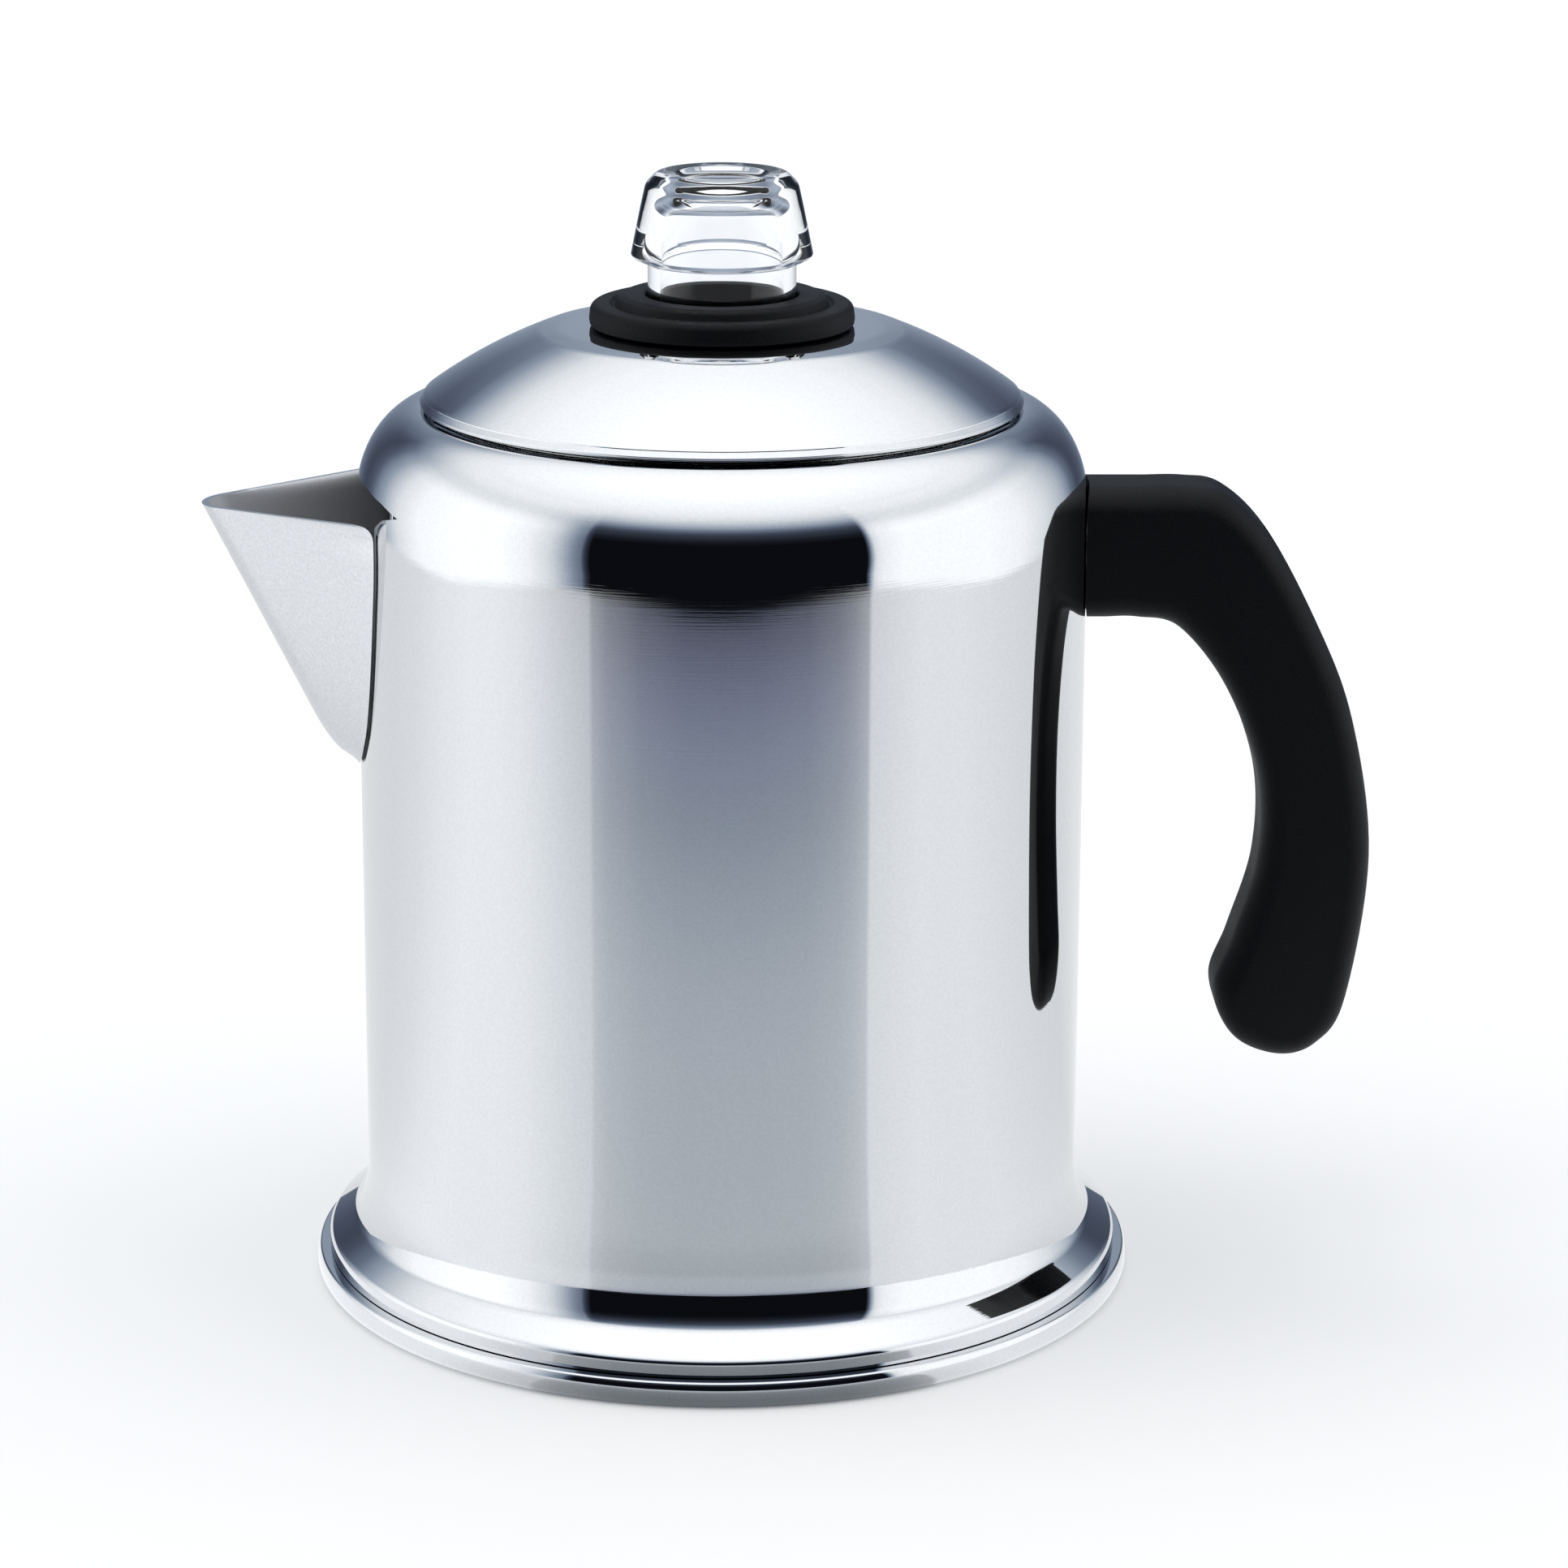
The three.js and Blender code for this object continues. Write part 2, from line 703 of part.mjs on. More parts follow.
// Clear knob: a flared head with a dished top on a hollow neck that carries the lugs.
function knob() {
  const profile = [
    [KNOB_NECK, KNOB_BOTTOM],
    [KNOB_NECK, 207.7],
    [17.1, 208.5],
    [17.7, 209.1],
    [17.4, 211.9],
    [16.6, 215.6],
    [15.9, 219.1],
    [15.1, 221.6],
    ...arc(12, 221.9, KNOB_TOP - 221.9, 20, 90, 2),
    [10, KNOB_TOP],
    [9, 224.1],
    [0, 223.7],
    [0, 220.1],
    [9.4, 219.9],
    [10.6, 218],
    [11, 212],
    [KNOB_BORE, 207],
    [KNOB_BORE, KNOB_BOTTOM],
  ];
  const start = profile.findIndex(([radius]) => radius === 0);
  const fromAxis = [...profile.slice(start + 1), ...profile.slice(0, start + 1)];
  const lug = lugSector(LUG_RADIUS, LUG_BOTTOM, LUG_TOP, LUG_SPREAD);
  const bore = drum(KNOB_BORE + 0.5, LUG_BOTTOM - 1, LUG_TOP + 1, COARSE);
  const lugs = aroundAxis(lug, LUGS).subtract(bore);
  return revolve(fromAxis, MEDIUM).add(lugs);
}

// ---- Assembly ----

addPiece("pot_shell", potShell(), satinSteel);
addPiece("base_plate", basePlate(), polishedSteel);
addPiece("heat_disc", heatDisc(), aluminium);
addPiece("base_cap", baseCap(), satinSteel);
addPiece("spout", spout(), satinSteel);
addPiece("handle", handle(), blackPlastic);
addPiece("handle_boss", handleBoss(), innerSteel);
addPiece("handle_washer", handleWasher(), innerSteel);
addPiece("handle_screw", handleScrew(), innerSteel);
addPiece("pump_tube", pumpTube(), innerSteel);
addPiece("pump_foot", pumpFoot(), innerSteel);
addPiece("valve_seat", valveSeat(), innerSteel);
addPiece("valve_disc", valveDisc(), innerSteel);
addPiece("basket_stop", basketStop(), innerSteel);
addPiece("basket_sleeve", basketSleeve(), innerSteel);
addPiece("basket_cup", basketCup(), innerSteel);
addPiece("spreader_plate", spreaderPlate(), innerSteel);
addPiece("spreader_hub", spreaderHub(), innerSteel);
addPiece("lid_dome", lidDome(), polishedSteel);
addPiece("lid_skirt", lidSkirt(), innerSteel);
addPiece("lid_collar", lidCollar(), blackPlastic);
addPiece("lock_ring", lockRing(), innerSteel);
addPiece("knob", knob(), clearPlastic);

export default group;
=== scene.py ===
"""Looks of the stovetop percolator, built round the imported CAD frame.

Shapes are worked out in millimetres and scaled to metres when a mesh is made. +Z is up, the spout
points to -X and the handle to +X. Turned pieces are closed profiles of (radius, height, fillet) corners.
Each fine piece stands for one CAD node, is named after it and rides on that node's body.
"""

import json
import math

import bmesh
import bpy
from mathutils import Matrix, Vector


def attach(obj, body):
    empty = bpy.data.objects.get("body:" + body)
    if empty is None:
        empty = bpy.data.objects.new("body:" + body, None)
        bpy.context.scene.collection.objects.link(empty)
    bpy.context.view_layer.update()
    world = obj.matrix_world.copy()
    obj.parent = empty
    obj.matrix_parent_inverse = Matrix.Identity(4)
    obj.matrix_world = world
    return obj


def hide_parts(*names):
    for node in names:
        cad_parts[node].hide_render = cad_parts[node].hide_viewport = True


MM = 0.001

# Pot
BODY_RADIUS = 72.5
SHEET = 1.0
BASE_RADIUS = 83.3
BASE_HEIGHT = 5.3
FLARE_START = 23.5
BAND_BOTTOM = 5.5
SHOULDER_START = 160.3
SHOULDER_REACH = 13.5
SHOULDER_TOP = 179.1
NECK_RADIUS = 54.5
NECK_ROLL = 3.0
NECK_BOTTOM = 170.5

# The flare from the wall down to its band: (arc radius or straight length, turn in degrees)
FLARE_MOVES = [(25, 20.5), (14, 7.0), (3.5, 30), (4.5, 0), (2.0, -57.5)]

# The base's rolled rim from its top down and under, in the same way, and how far it reaches out
BASE_ROLL = [(0.5, -65), (4.9, -25), (0.5, 0), (2.4, -90), (4.9, 0)]
BASE_ROLL_REACH = 0.91

# Spout: its sheet, how its rim rises towards the wall, its gap to the wall, its rounded top corner, and
# the material slot of its inside
SPOUT_SHEET = 1.2
SPOUT_RIM_RISE = 0.04
SPOUT_GAP = 0.5
SPOUT_CORNER = 3.0
INSIDE_SLOT = 1
# Its levels from the rim down: height, nose, nose radius, half width where it meets the wall
SPOUT_LEVELS = [
    (159.3, -103.2, 8.5, 28.0),
    (151.1, -99.05, 10.3, 28.0),
    (141.1, -94.0, 12.5, 26.7),
    (131.1, -89.0, 14.6, 25.0),
    (123.1, -84.95, 16.4, 23.0),
    (117.1, -81.95, 17.7, 20.6),
    (114.1, -80.3, 17.6, 18.4),
    (111.1, -78.3, 16.0, 15.6),
    (109.5, -76.8, 13.5, 13.4),
    (108.5, -75.2, 10.0, 11.2),
    (107.9, -73.6, 7.0, 8.6),
]

# Slot in the wall behind the spout: (half width, height) round its top, then it follows the spout down
SLOT_TOP = [(0.0, 166.5), (20.0, 166.3), (30.0, 165.3), (37.0, 163.9), (31.0, 162.3), (27.2, 159.9)]
SLOT_SIDE_TOP = 157.1
SLOT_SIDE_BOTTOM = 111.0
SLOT_SIDE_STEP = 2.0
SLOT_MARGIN = 0.9
SLOT_FOOT = (6.0, 109.8)

# Handle, with its screw: the depths of the counterbore and the head, and the radii of the holes
HANDLE_WIDTH = 23.0
HANDLE_EDGE = 5.0
HANDLE_CROWN = 7.0
HANDLE_TOP = 163.7
HANDLE_UNDERSIDE = 137.2
HANDLE_ROOT = 58.0
HANDLE_OUTLINE = [
    (84.0, HANDLE_TOP),
    (92.0, HANDLE_TOP),
    (99.5, 162.2),
    (108.4, 153.7),
    (118.4, 136.0),
    (126.3, 115.9),
    (130.6, 87.8),
    (126.8, 57.8),
    (121.2, 48.2),
    (113.3, 45.6),
    (104.1, 49.4),
    (99.8, 59.2),
    (103.2, 69.7),
    (107.9, 86.3),
    (107.6, 104.3),
    (100.9, 122.4),
    (91.1, 135.0),
    (82.6, HANDLE_UNDERSIDE),
    (76.0, HANDLE_UNDERSIDE),
]
SCREW_HEIGHT = 150.4
SCREW_SEAT = 101.0
SCREW_HEAD = 102.6
SCREW_HOLE = 2.3
BOSS_POCKET = 6.1
COUNTERBORE = 4.1

# Lid
LID_SPHERE = 100.0
LID_SPHERE_CENTRE = 100.8
LID_SPHERE_START = 36.0
LID_HOLE = 18.0
LID_SHEET = 0.9
LID_RADIUS = 59.6
LID_EDGE = 179.9
LID_BEVEL = 0.8
LID_SEAT = 194.8

# Inner parts: pump stem, basket and spreader
STEM_RADIUS = 4.8
STEM_BORE = 4.0
STEM_BOTTOM = 19.0
STEM_TOP = 192.5
SLEEVE_BORE = 5.3
FINE_HOLE = 0.85
SPREADER_HOLE = 0.75
BASKET_ROWS = (103.5, 107.0)
HOLES_IN_ROW = 48

# Facets round a full turn
TURN = 256
SMALL_TURN = 96
SHARP = math.radians(32)


# ---- Lines in the (radius, height) plane ----


def arc(x, z, radius, start, end, steps, height=None):
    """Points of a circular or elliptical arc; angles in degrees."""
    height = radius if height is None else height
    angles = [math.radians(start + (end - start) * i / steps) for i in range(steps + 1)]
    return [(x + radius * math.cos(a), z + height * math.sin(a)) for a in angles]


def trace(point, heading, moves, step=3.0):
    """Smooth line from a point: each move is a straight, or an arc that turns left by some degrees."""
    x, z = point
    angle = math.radians(heading)
    line = [point]
    for size, turn in moves:
        if turn == 0:
            x += size * math.cos(angle)
            z += size * math.sin(angle)
            line.append((x, z))
            continue
        steps = max(2, round(abs(turn) / step))
        side = math.copysign(1, turn)
        cx = x - side * size * math.sin(angle)
        cz = z + side * size * math.cos(angle)
        for _ in range(steps):
            angle += math.radians(turn) / steps
            x = cx + side * size * math.sin(angle)
            z = cz - side * size * math.cos(angle)
            line.append((x, z))
    return line


def rounded(corners, step=15.0):
    """Closed outline with a fillet at each (x, z, fillet) corner."""
    line = []
    count = len(corners)
    for i, (x, z, fillet) in enumerate(corners):
        here = Vector((x, z))
        back = Vector(corners[i - 1][:2]) - here
        ahead = Vector(corners[(i + 1) % count][:2]) - here
        if fillet == 0 or back.length < 1e-9 or ahead.length < 1e-9:
            line.append((x, z))
            continue
        opening = back.angle(ahead)
        reach = min(fillet / math.tan(opening / 2), 0.49 * back.length, 0.49 * ahead.length)
        radius = reach * math.tan(opening / 2)
        start = here + back.normalized() * reach
        centre = here + (back.normalized() + ahead.normalized()).normalized() * radius / math.sin(opening / 2)
        arm = start - centre
        sweep = math.pi - opening
        if back.x * ahead.y - back.y * ahead.x > 0:
            sweep = -sweep
        steps = max(2, round(math.degrees(abs(sweep)) / step))
        for k in range(steps + 1):
            turn = Matrix.Rotation(sweep * k / steps, 2)
            line.append(tuple(centre + turn @ arm))
    return line


def moved_left(line, distance):
    """The line moved to its left by a distance, mitred at its corners."""
    points = [Vector(p) for p in line]
    moved = []
    last = len(points) - 1
    for i, point in enumerate(points):
        out = (points[min(i + 1, last)] - points[min(i, last - 1)]).normalized()
        into = (points[max(i, 1)] - points[max(i - 1, 0)]).normalized()
        middle = into + out
        left = Vector((-middle.y, middle.x)).normalized()
        moved.append(tuple(point + left * distance * 2 / middle.length))
    return moved


def smooth_table(rows, key):
    """Value of every column at a key in the first column, on a smooth curve through falling rows."""
    count = len(rows)
    for i in range(count - 1):
        if rows[i + 1][0] <= key or i == count - 2:
            break
    a, b = rows[i], rows[i + 1]
    t = (key - a[0]) / (b[0] - a[0])
    before = rows[max(i - 1, 0)]
    after = rows[min(i + 2, count - 1)]
    values = []
    for k in range(1, len(a)):
        span = b[0] - a[0]
        slope_a = (b[k] - before[k]) / (b[0] - before[0]) * span
        slope_b = (after[k] - a[k]) / (after[0] - a[0]) * span
        h = (2 * t**3 - 3 * t**2 + 1, t**3 - 2 * t**2 + t, 3 * t**2 - 2 * t**3, t**3 - t**2)
        values.append(h[0] * a[k] + h[1] * slope_a + h[2] * b[k] + h[3] * slope_b)
    return values


def spline(points, steps):
    """Catmull-Rom line through the points."""
    line = []
    last = len(points) - 1
    for i in range(last):
        p = [Vector(points[min(max(i + k, 0), last)]) for k in (-1, 0, 1, 2)]
        for s in range(steps):
            t = s / steps
            a = 2 * p[1] + (p[2] - p[0]) * t
            b = (2 * p[0] - 5 * p[1] + 4 * p[2] - p[3]) * t**2
            c = (3 * p[1] - p[0] - 3 * p[2] + p[3]) * t**3
            line.append(tuple((a + b + c) / 2))
    line.append(tuple(points[-1]))
    return line


# ---- Meshes ----


def new_object(name, verts, faces):
    """Object with outward normals from millimetre vertices."""
    mesh = bpy.data.meshes.new(name)
    mesh.from_pydata([Vector(v) * MM for v in verts], [], faces)
    bm = bmesh.new()
    bm.from_mesh(mesh)
    bmesh.ops.remove_doubles(bm, verts=bm.verts, dist=1e-7)
    bmesh.ops.recalc_face_normals(bm, faces=bm.faces)
    bm.to_mesh(mesh)
    bm.free()
    piece = bpy.data.objects.new(name, mesh)
    bpy.context.scene.collection.objects.link(piece)
    return piece


def lathe(name, profile, turn=TURN):
    """Closed profile of (radius, height) points turned about Z."""
    verts = []
    rings = []
    for radius, height in profile:
        if radius < 1e-6:
            rings.append([len(verts)] * turn)
            verts.append((0, 0, height))
            continue
        rings.append(list(range(len(verts), len(verts) + turn)))
        for k in range(turn):
            angle = 2 * math.pi * k / turn
            verts.append((radius * math.cos(angle), radius * math.sin(angle), height))
    faces = []
    for i, ring in enumerate(rings):
        above = rings[(i + 1) % len(rings)]
        if ring[0] == ring[1] and above[0] == above[1]:
            continue
        for k in range(turn):
            m = (k + 1) % turn
            face = []
            for corner in (ring[k], ring[m], above[m], above[k]):
                if corner not in face:
                    face.append(corner)
            faces.append(face)
    return new_object(name, verts, faces)


def cylinder(radius, length, centre, axis="Z", sides=24):
    """Throwaway cylinder for cutting, centred on a point."""
    half = length / 2
    tool = lathe("tool", [(0, -half), (radius, -half), (radius, half), (0, half)], sides)
    if axis == "X":
        tool.data.transform(Matrix.Rotation(math.pi / 2, 4, "Y"))
    if axis == "Y":
        tool.data.transform(Matrix.Rotation(math.pi / 2, 4, "X"))
    tool.data.transform(Matrix.Translation(Vector(centre) * MM))
    return tool


def prism(outline, start, end):
    """Throwaway prism for cutting: a (y, z) outline that runs along X."""
    count = len(outline)
    verts = [(start, y, z) for y, z in outline] + [(end, y, z) for y, z in outline]
    faces = [list(range(count)), list(range(count, 2 * count))]
    for i in range(count):
        k = (i + 1) % count
        faces.append([i, k, count + k, count + i])
    return new_object("tool", verts, faces)


def joined(tools):
    """One object from many separate tools."""
    bm = bmesh.new()
    for tool in tools:
        bm.from_mesh(tool.data)
        bpy.data.objects.remove(tool)
    mesh = bpy.data.meshes.new("tool")
    bm.to_mesh(mesh)
    bm.free()
    result = bpy.data.objects.new("tool", mesh)
    bpy.context.scene.collection.objects.link(result)
    return result


def apply_modifiers(piece):
    """Turns a piece's modifiers into its mesh."""
    bpy.context.view_layer.update()
    graph = bpy.context.evaluated_depsgraph_get()
    mesh = bpy.data.meshes.new_from_object(piece.evaluated_get(graph))
    piece.modifiers.clear()
    piece.data = mesh


def carve(piece, tool, operation="DIFFERENCE", solver="EXACT"):
    """Boolean of the piece with a tool, which is then removed."""
    modifier = piece.modifiers.new("carve", "BOOLEAN")
    modifier.operation = operation
    modifier.solver = solver
    modifier.object = tool
    apply_modifiers(piece)
    bpy.data.objects.remove(tool)


def soften(piece, width, angle=40, segments=2):
    """Rounds the sharp edges of a piece."""
    modifier = piece.modifiers.new("soften", "BEVEL")
    modifier.width = width * MM
    modifier.segments = segments
    modifier.limit_method = "ANGLE"
    modifier.angle_limit = math.radians(angle)
    apply_modifiers(piece)


def place(piece, node, slot, *materials):
    """Finishes a piece that stands for a CAD node: shading, materials and body; its slot is not used."""
    piece.name = "fine_" + node
    piece.data.name = piece.name
    piece.data.materials.clear()
    for material in materials:
        piece.data.materials.append(material)
    piece.data.shade_smooth()
    piece.data.set_sharp_from_angle(angle=SHARP)
    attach(piece, BODY_OF[node])
    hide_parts(node)
    return piece


# ---- Materials ----


class Nodes:
    """Short hand for building one node tree."""

    def __init__(self, tree):
        self.tree = tree
        tree.nodes.clear()

    def add(self, kind, **settings):
        node = self.tree.nodes.new(kind)
        for name, value in settings.items():
            setattr(node, name, value)
        return node

    def link(self, source, target):
        self.tree.links.new(source, target)

    def put(self, value, target):
        if isinstance(value, bpy.types.NodeSocket):
            self.link(value, target)
        else:
            target.default_value = value

    def maths(self, operation, a, b=0.0, clamp=False):
        node = self.add("ShaderNodeMath", operation=operation, use_clamp=clamp)
        self.put(a, node.inputs[0])
        self.put(b, node.inputs[1])
        return node.outputs[0]

    def ramp(self, value, stops, mode="LINEAR"):
        node = self.add("ShaderNodeValToRGB")
        ramp = node.color_ramp
        ramp.interpolation = mode
        for position, _ in stops[1:-1]:
            ramp.elements.new(position)
        for element, (position, colour) in zip(ramp.elements, stops):
            element.position = position
            shade = colour if hasattr(colour, "__len__") else (colour,) * 3
            element.color = (*shade, 1)
        self.put(value, node.inputs["Fac"])
        return node.outputs["Color"]

    def noise(self, vector, scale, detail=2.0, roughness=0.5):
        node = self.add("ShaderNodeTexNoise")
        self.link(vector, node.inputs["Vector"])
        node.inputs["Scale"].default_value = scale
        node.inputs["Detail"].default_value = detail
        node.inputs["Roughness"].default_value = roughness
        return node.outputs[0]

    def remap(self, value, low, high, to_low, to_high):
        node = self.add("ShaderNodeMapRange")
        for source, target in zip((value, low, high, to_low, to_high), node.inputs):
            self.put(source, target)
        return node.outputs[0]

    def mix(self, factor, a, b, blend="MIX"):
        node = self.add("ShaderNodeMix", data_type="RGBA", blend_type=blend)
        self.put(factor, node.inputs["Factor"])
        self.put(a, node.inputs[6])
        self.put(b, node.inputs[7])
        return node.outputs[2]

    def bump(self, height, strength, distance, normal=None):
        node = self.add("ShaderNodeBump")
        node.inputs["Strength"].default_value = strength
        node.inputs["Distance"].default_value = distance
        self.link(height, node.inputs["Height"])
        if normal is not None:
            self.link(normal, node.inputs["Normal"])
        return node.outputs[0]

    def combine(self, x, y, z):
        node = self.add("ShaderNodeCombineXYZ")
        for value, target in zip((x, y, z), node.inputs):
            self.put(value, target)
        return node.outputs[0]


def material(name):
    """New material with a shader: the material, its nodes, the shader's sockets and the position."""
    made = bpy.data.materials.new(name)
    made.use_nodes = True
    nodes = Nodes(made.node_tree)
    shader = nodes.add("ShaderNodeBsdfPrincipled")
    output = nodes.add("ShaderNodeOutputMaterial")
    nodes.link(shader.outputs[0], output.inputs["Surface"])
    position = nodes.add("ShaderNodeTexCoord").outputs["Object"]
    return made, nodes, shader.inputs, position


# Scale of the polishing lines round the axis; along it they are far finer
STREAK_SCALE = 12


def steel(name, colour, roughness, lines=0.0, line_scale=900.0, speckle=0.03, smudge=0.02, metallic=1.0):
    """Stainless steel with polishing lines that run round the axis, a fine grain and faint smudges."""
    made, nodes, sockets, position = material(name)
    axes = nodes.add("ShaderNodeSeparateXYZ")
    nodes.link(position, axes.inputs[0])
    x, y, z = axes.outputs
    squares = [nodes.maths("MULTIPLY", axis, axis) for axis in (x, y)]
    radius = nodes.maths("SQRT", nodes.maths("ADD", *squares))
    around = [nodes.maths("MULTIPLY", axis, STREAK_SCALE) for axis in (x, y)]
    along = nodes.maths("MULTIPLY", nodes.maths("SUBTRACT", z, radius), line_scale)
    streaks = nodes.noise(nodes.combine(*around, along), 4.0, 3.0)
    grain = nodes.noise(position, 1800.0, 1.0)
    clouds = nodes.noise(position, 22.0, 3.0, 0.6)
    shade = nodes.remap(grain, 0.3, 0.7, 1 - speckle, 1 + speckle)
    tint = nodes.mix(1.0, (*colour, 1), nodes.combine(shade, shade, shade), "MULTIPLY")
    nodes.link(tint, sockets["Base Color"])
    sockets["Metallic"].default_value = metallic
    gloss = nodes.remap(clouds, 0.35, 0.75, roughness, roughness + smudge)
    brushed = nodes.remap(streaks, 0.3, 0.7, 0.0, lines * 0.08)
    nodes.link(nodes.maths("ADD", gloss, brushed), sockets["Roughness"])
    nodes.link(nodes.bump(streaks, lines, 0.00002), sockets["Normal"])
    return made


def black_plastic(name):
    """Heat-proof moulding with a fine matte grain."""
    made, nodes, sockets, position = material(name)
    grain = nodes.noise(position, 2600.0, 2.0, 0.6)
    clouds = nodes.noise(position, 60.0, 3.0, 0.6)
    shade = nodes.ramp(grain, [(0.3, (0.0006, 0.0008, 0.0018)), (0.7, (0.0022, 0.0025, 0.0046))])
    nodes.link(shade, sockets["Base Color"])
    nodes.link(nodes.remap(clouds, 0.3, 0.7, 0.48, 0.56), sockets["Roughness"])
    nodes.link(nodes.bump(grain, 0.75, 0.00016), sockets["Normal"])
    sockets["Specular IOR Level"].default_value = 0.14
    return made


def clear_plastic(name):
    """Clear moulding with slight waves in its surface."""
    made, nodes, sockets, position = material(name)
    waves = nodes.noise(position, 160.0, 2.0)
    fine = nodes.noise(position, 900.0, 2.0)
    tint = nodes.ramp(waves, [(0.3, (0.965, 0.975, 0.99)), (0.7, (0.99, 0.995, 1.0))])
    nodes.link(tint, sockets["Base Color"])
    nodes.link(nodes.remap(fine, 0.3, 0.7, 0.0, 0.03), sockets["Roughness"])
    nodes.link(nodes.bump(waves, 0.06, 0.0002), sockets["Normal"])
    sockets["Transmission Weight"].default_value = 1.0
    sockets["IOR"].default_value = 1.33
    return made


# ---- Pieces of the pot ----


def pot_wall_outline():
    """Closed section of the pot's sheet: outside from the band up to the mouth, then back inside."""
    flare = trace((BODY_RADIUS, FLARE_START), -90, FLARE_MOVES)
    outside = [(flare[-1][0], BAND_BOTTOM), (flare[-1][0], BAND_BOTTOM + 0.6)] + flare[::-1]
    height = FLARE_START + 3.0
    while height < SHOULDER_START - 2.0:
        outside.append((BODY_RADIUS, height))
        height += 4.0
    centre = BODY_RADIUS - SHOULDER_REACH
    shoulder = arc(centre, SHOULDER_START, SHOULDER_REACH, 0, 90, 36, SHOULDER_TOP - SHOULDER_START)
    roll = arc(NECK_RADIUS + NECK_ROLL, SHOULDER_TOP - NECK_ROLL, NECK_ROLL, 90, 180, 12)
    outside += shoulder + roll + [(NECK_RADIUS, NECK_BOTTOM)]
    return outside + moved_left(outside, SHEET)[::-1]


def slot_tool():
    """The opening in the wall behind the spout, as a prism along X."""
    right = list(SLOT_TOP)
    height = SLOT_SIDE_TOP
    while height > SLOT_SIDE_BOTTOM:
        half = smooth_table(SPOUT_LEVELS, height)[2] - SLOT_MARGIN
        right.append((half, height))
        height -= SLOT_SIDE_STEP
    right.append(SLOT_FOOT)
    left = [(-y, z) for y, z in right[::-1] if y > 0]
    return prism(right + left, -95.0, -40.0)


def pot_shell():
    """Wall, shoulder, rolled mouth and flare in one sheet, with the slot behind the spout."""
    piece = lathe("pot", pot_wall_outline())
    carve(piece, slot_tool())
    return place(piece, "pot_shell", "satin_steel", WALL_STEEL)


def spout_section(height, inset, root_gap):
    """Half outline of the spout at a level, from the middle of its nose to the wall, on the +Y side."""
    nose, nose_radius, half_width = smooth_table(SPOUT_LEVELS, height)
    wall = BODY_RADIUS + root_gap
    centre = nose + nose_radius
    radius = nose_radius - inset
    root_y = half_width - inset * 1.1
    root_x = -math.sqrt(wall * wall - root_y * root_y)
    reach = math.hypot(root_x - centre, root_y)
    tangent = math.atan2(root_y, root_x - centre) + math.acos(min(1.0, radius / reach))
    nose_steps = 14
    side_steps = 16
    points = []
    for i in range(nose_steps + 1):
        angle = math.pi + (tangent - math.pi) * i / nose_steps
        points.append((centre + radius * math.cos(angle), radius * math.sin(angle)))
    start = points[-1]
    for i in range(1, side_steps + 1):
        t = i / side_steps
        points.append((start[0] + (root_x - start[0]) * t, start[1] + (root_y - start[1]) * t))
    return points


def spout_heights():
    """Levels of the spout from its rim down, closer together at the rounded corner and at the foot."""
    top = SPOUT_LEVELS[0][0]
    bottom = SPOUT_LEVELS[-1][0]
    levels = [top - SPOUT_CORNER * (1 - math.cos(math.radians(11.25 * i))) for i in range(9)]
    while levels[-1] - 1.6 > bottom + 6:
        levels.append(levels[-1] - 1.6)
    while levels[-1] - 0.6 > bottom:
        levels.append(levels[-1] - 0.6)
    levels.append(bottom)
    return levels


def spout():
    """Folded V of sheet with a rounded nose, standing a hair off the pot's wall."""
    top = SPOUT_LEVELS[0][0]
    grids = []
    for inset in (0.0, SPOUT_SHEET):
        grid = []
        for height in spout_heights():
            depth = min(top - height, SPOUT_CORNER)
            corner = SPOUT_CORNER - math.sqrt(SPOUT_CORNER**2 - (SPOUT_CORNER - depth) ** 2)
            half = spout_section(height, inset, SPOUT_GAP + corner)
            rise = max(0.0, 1 - (top - height) / 12)
            right = [(x, y, height + SPOUT_RIM_RISE * rise * (x - half[0][0])) for x, y in half]
            left = [(x, -y, z) for x, y, z in right[:0:-1]]
            grid.append(left + right)
        grids.append(grid)
    rows = len(grids[0])
    columns = len(grids[0][0])
    verts = [v for grid in grids for row in grid for v in row]

    def index(side, row, column):
        return (side * rows + row) * columns + column

    faces = []
    for side in (0, 1):
        for r in range(rows - 1):
            for c in range(columns - 1):
                ring = ((r, c), (r, c + 1), (r + 1, c + 1), (r + 1, c))
                faces.append([index(side, *spot) for spot in ring])
    rim = [(0, c) for c in range(columns)]
    rim += [(r, columns - 1) for r in range(1, rows)]
    rim += [(rows - 1, c) for c in range(columns - 2, -1, -1)]
    rim += [(r, 0) for r in range(rows - 2, 0, -1)]
    for k, here in enumerate(rim):
        after = rim[(k + 1) % len(rim)]
        faces.append([index(0, *here), index(0, *after), index(1, *after), index(1, *here)])
    piece = new_object("spout", verts, faces)
    place(piece, "spout", "satin_steel", SPOUT_STEEL, SPOUT_INSIDE)
    side_faces = (rows - 1) * (columns - 1)
    for face in piece.data.polygons[side_faces : 2 * side_faces]:
        face.material_index = INSIDE_SLOT


def handle_outline():
    """Closed side outline; it starts and ends inside the pot, where the wall's drum cuts it off."""
    bend = spline(HANDLE_OUTLINE, 10)
    return [(HANDLE_ROOT, HANDLE_TOP)] + bend + [(HANDLE_ROOT, HANDLE_UNDERSIDE)]


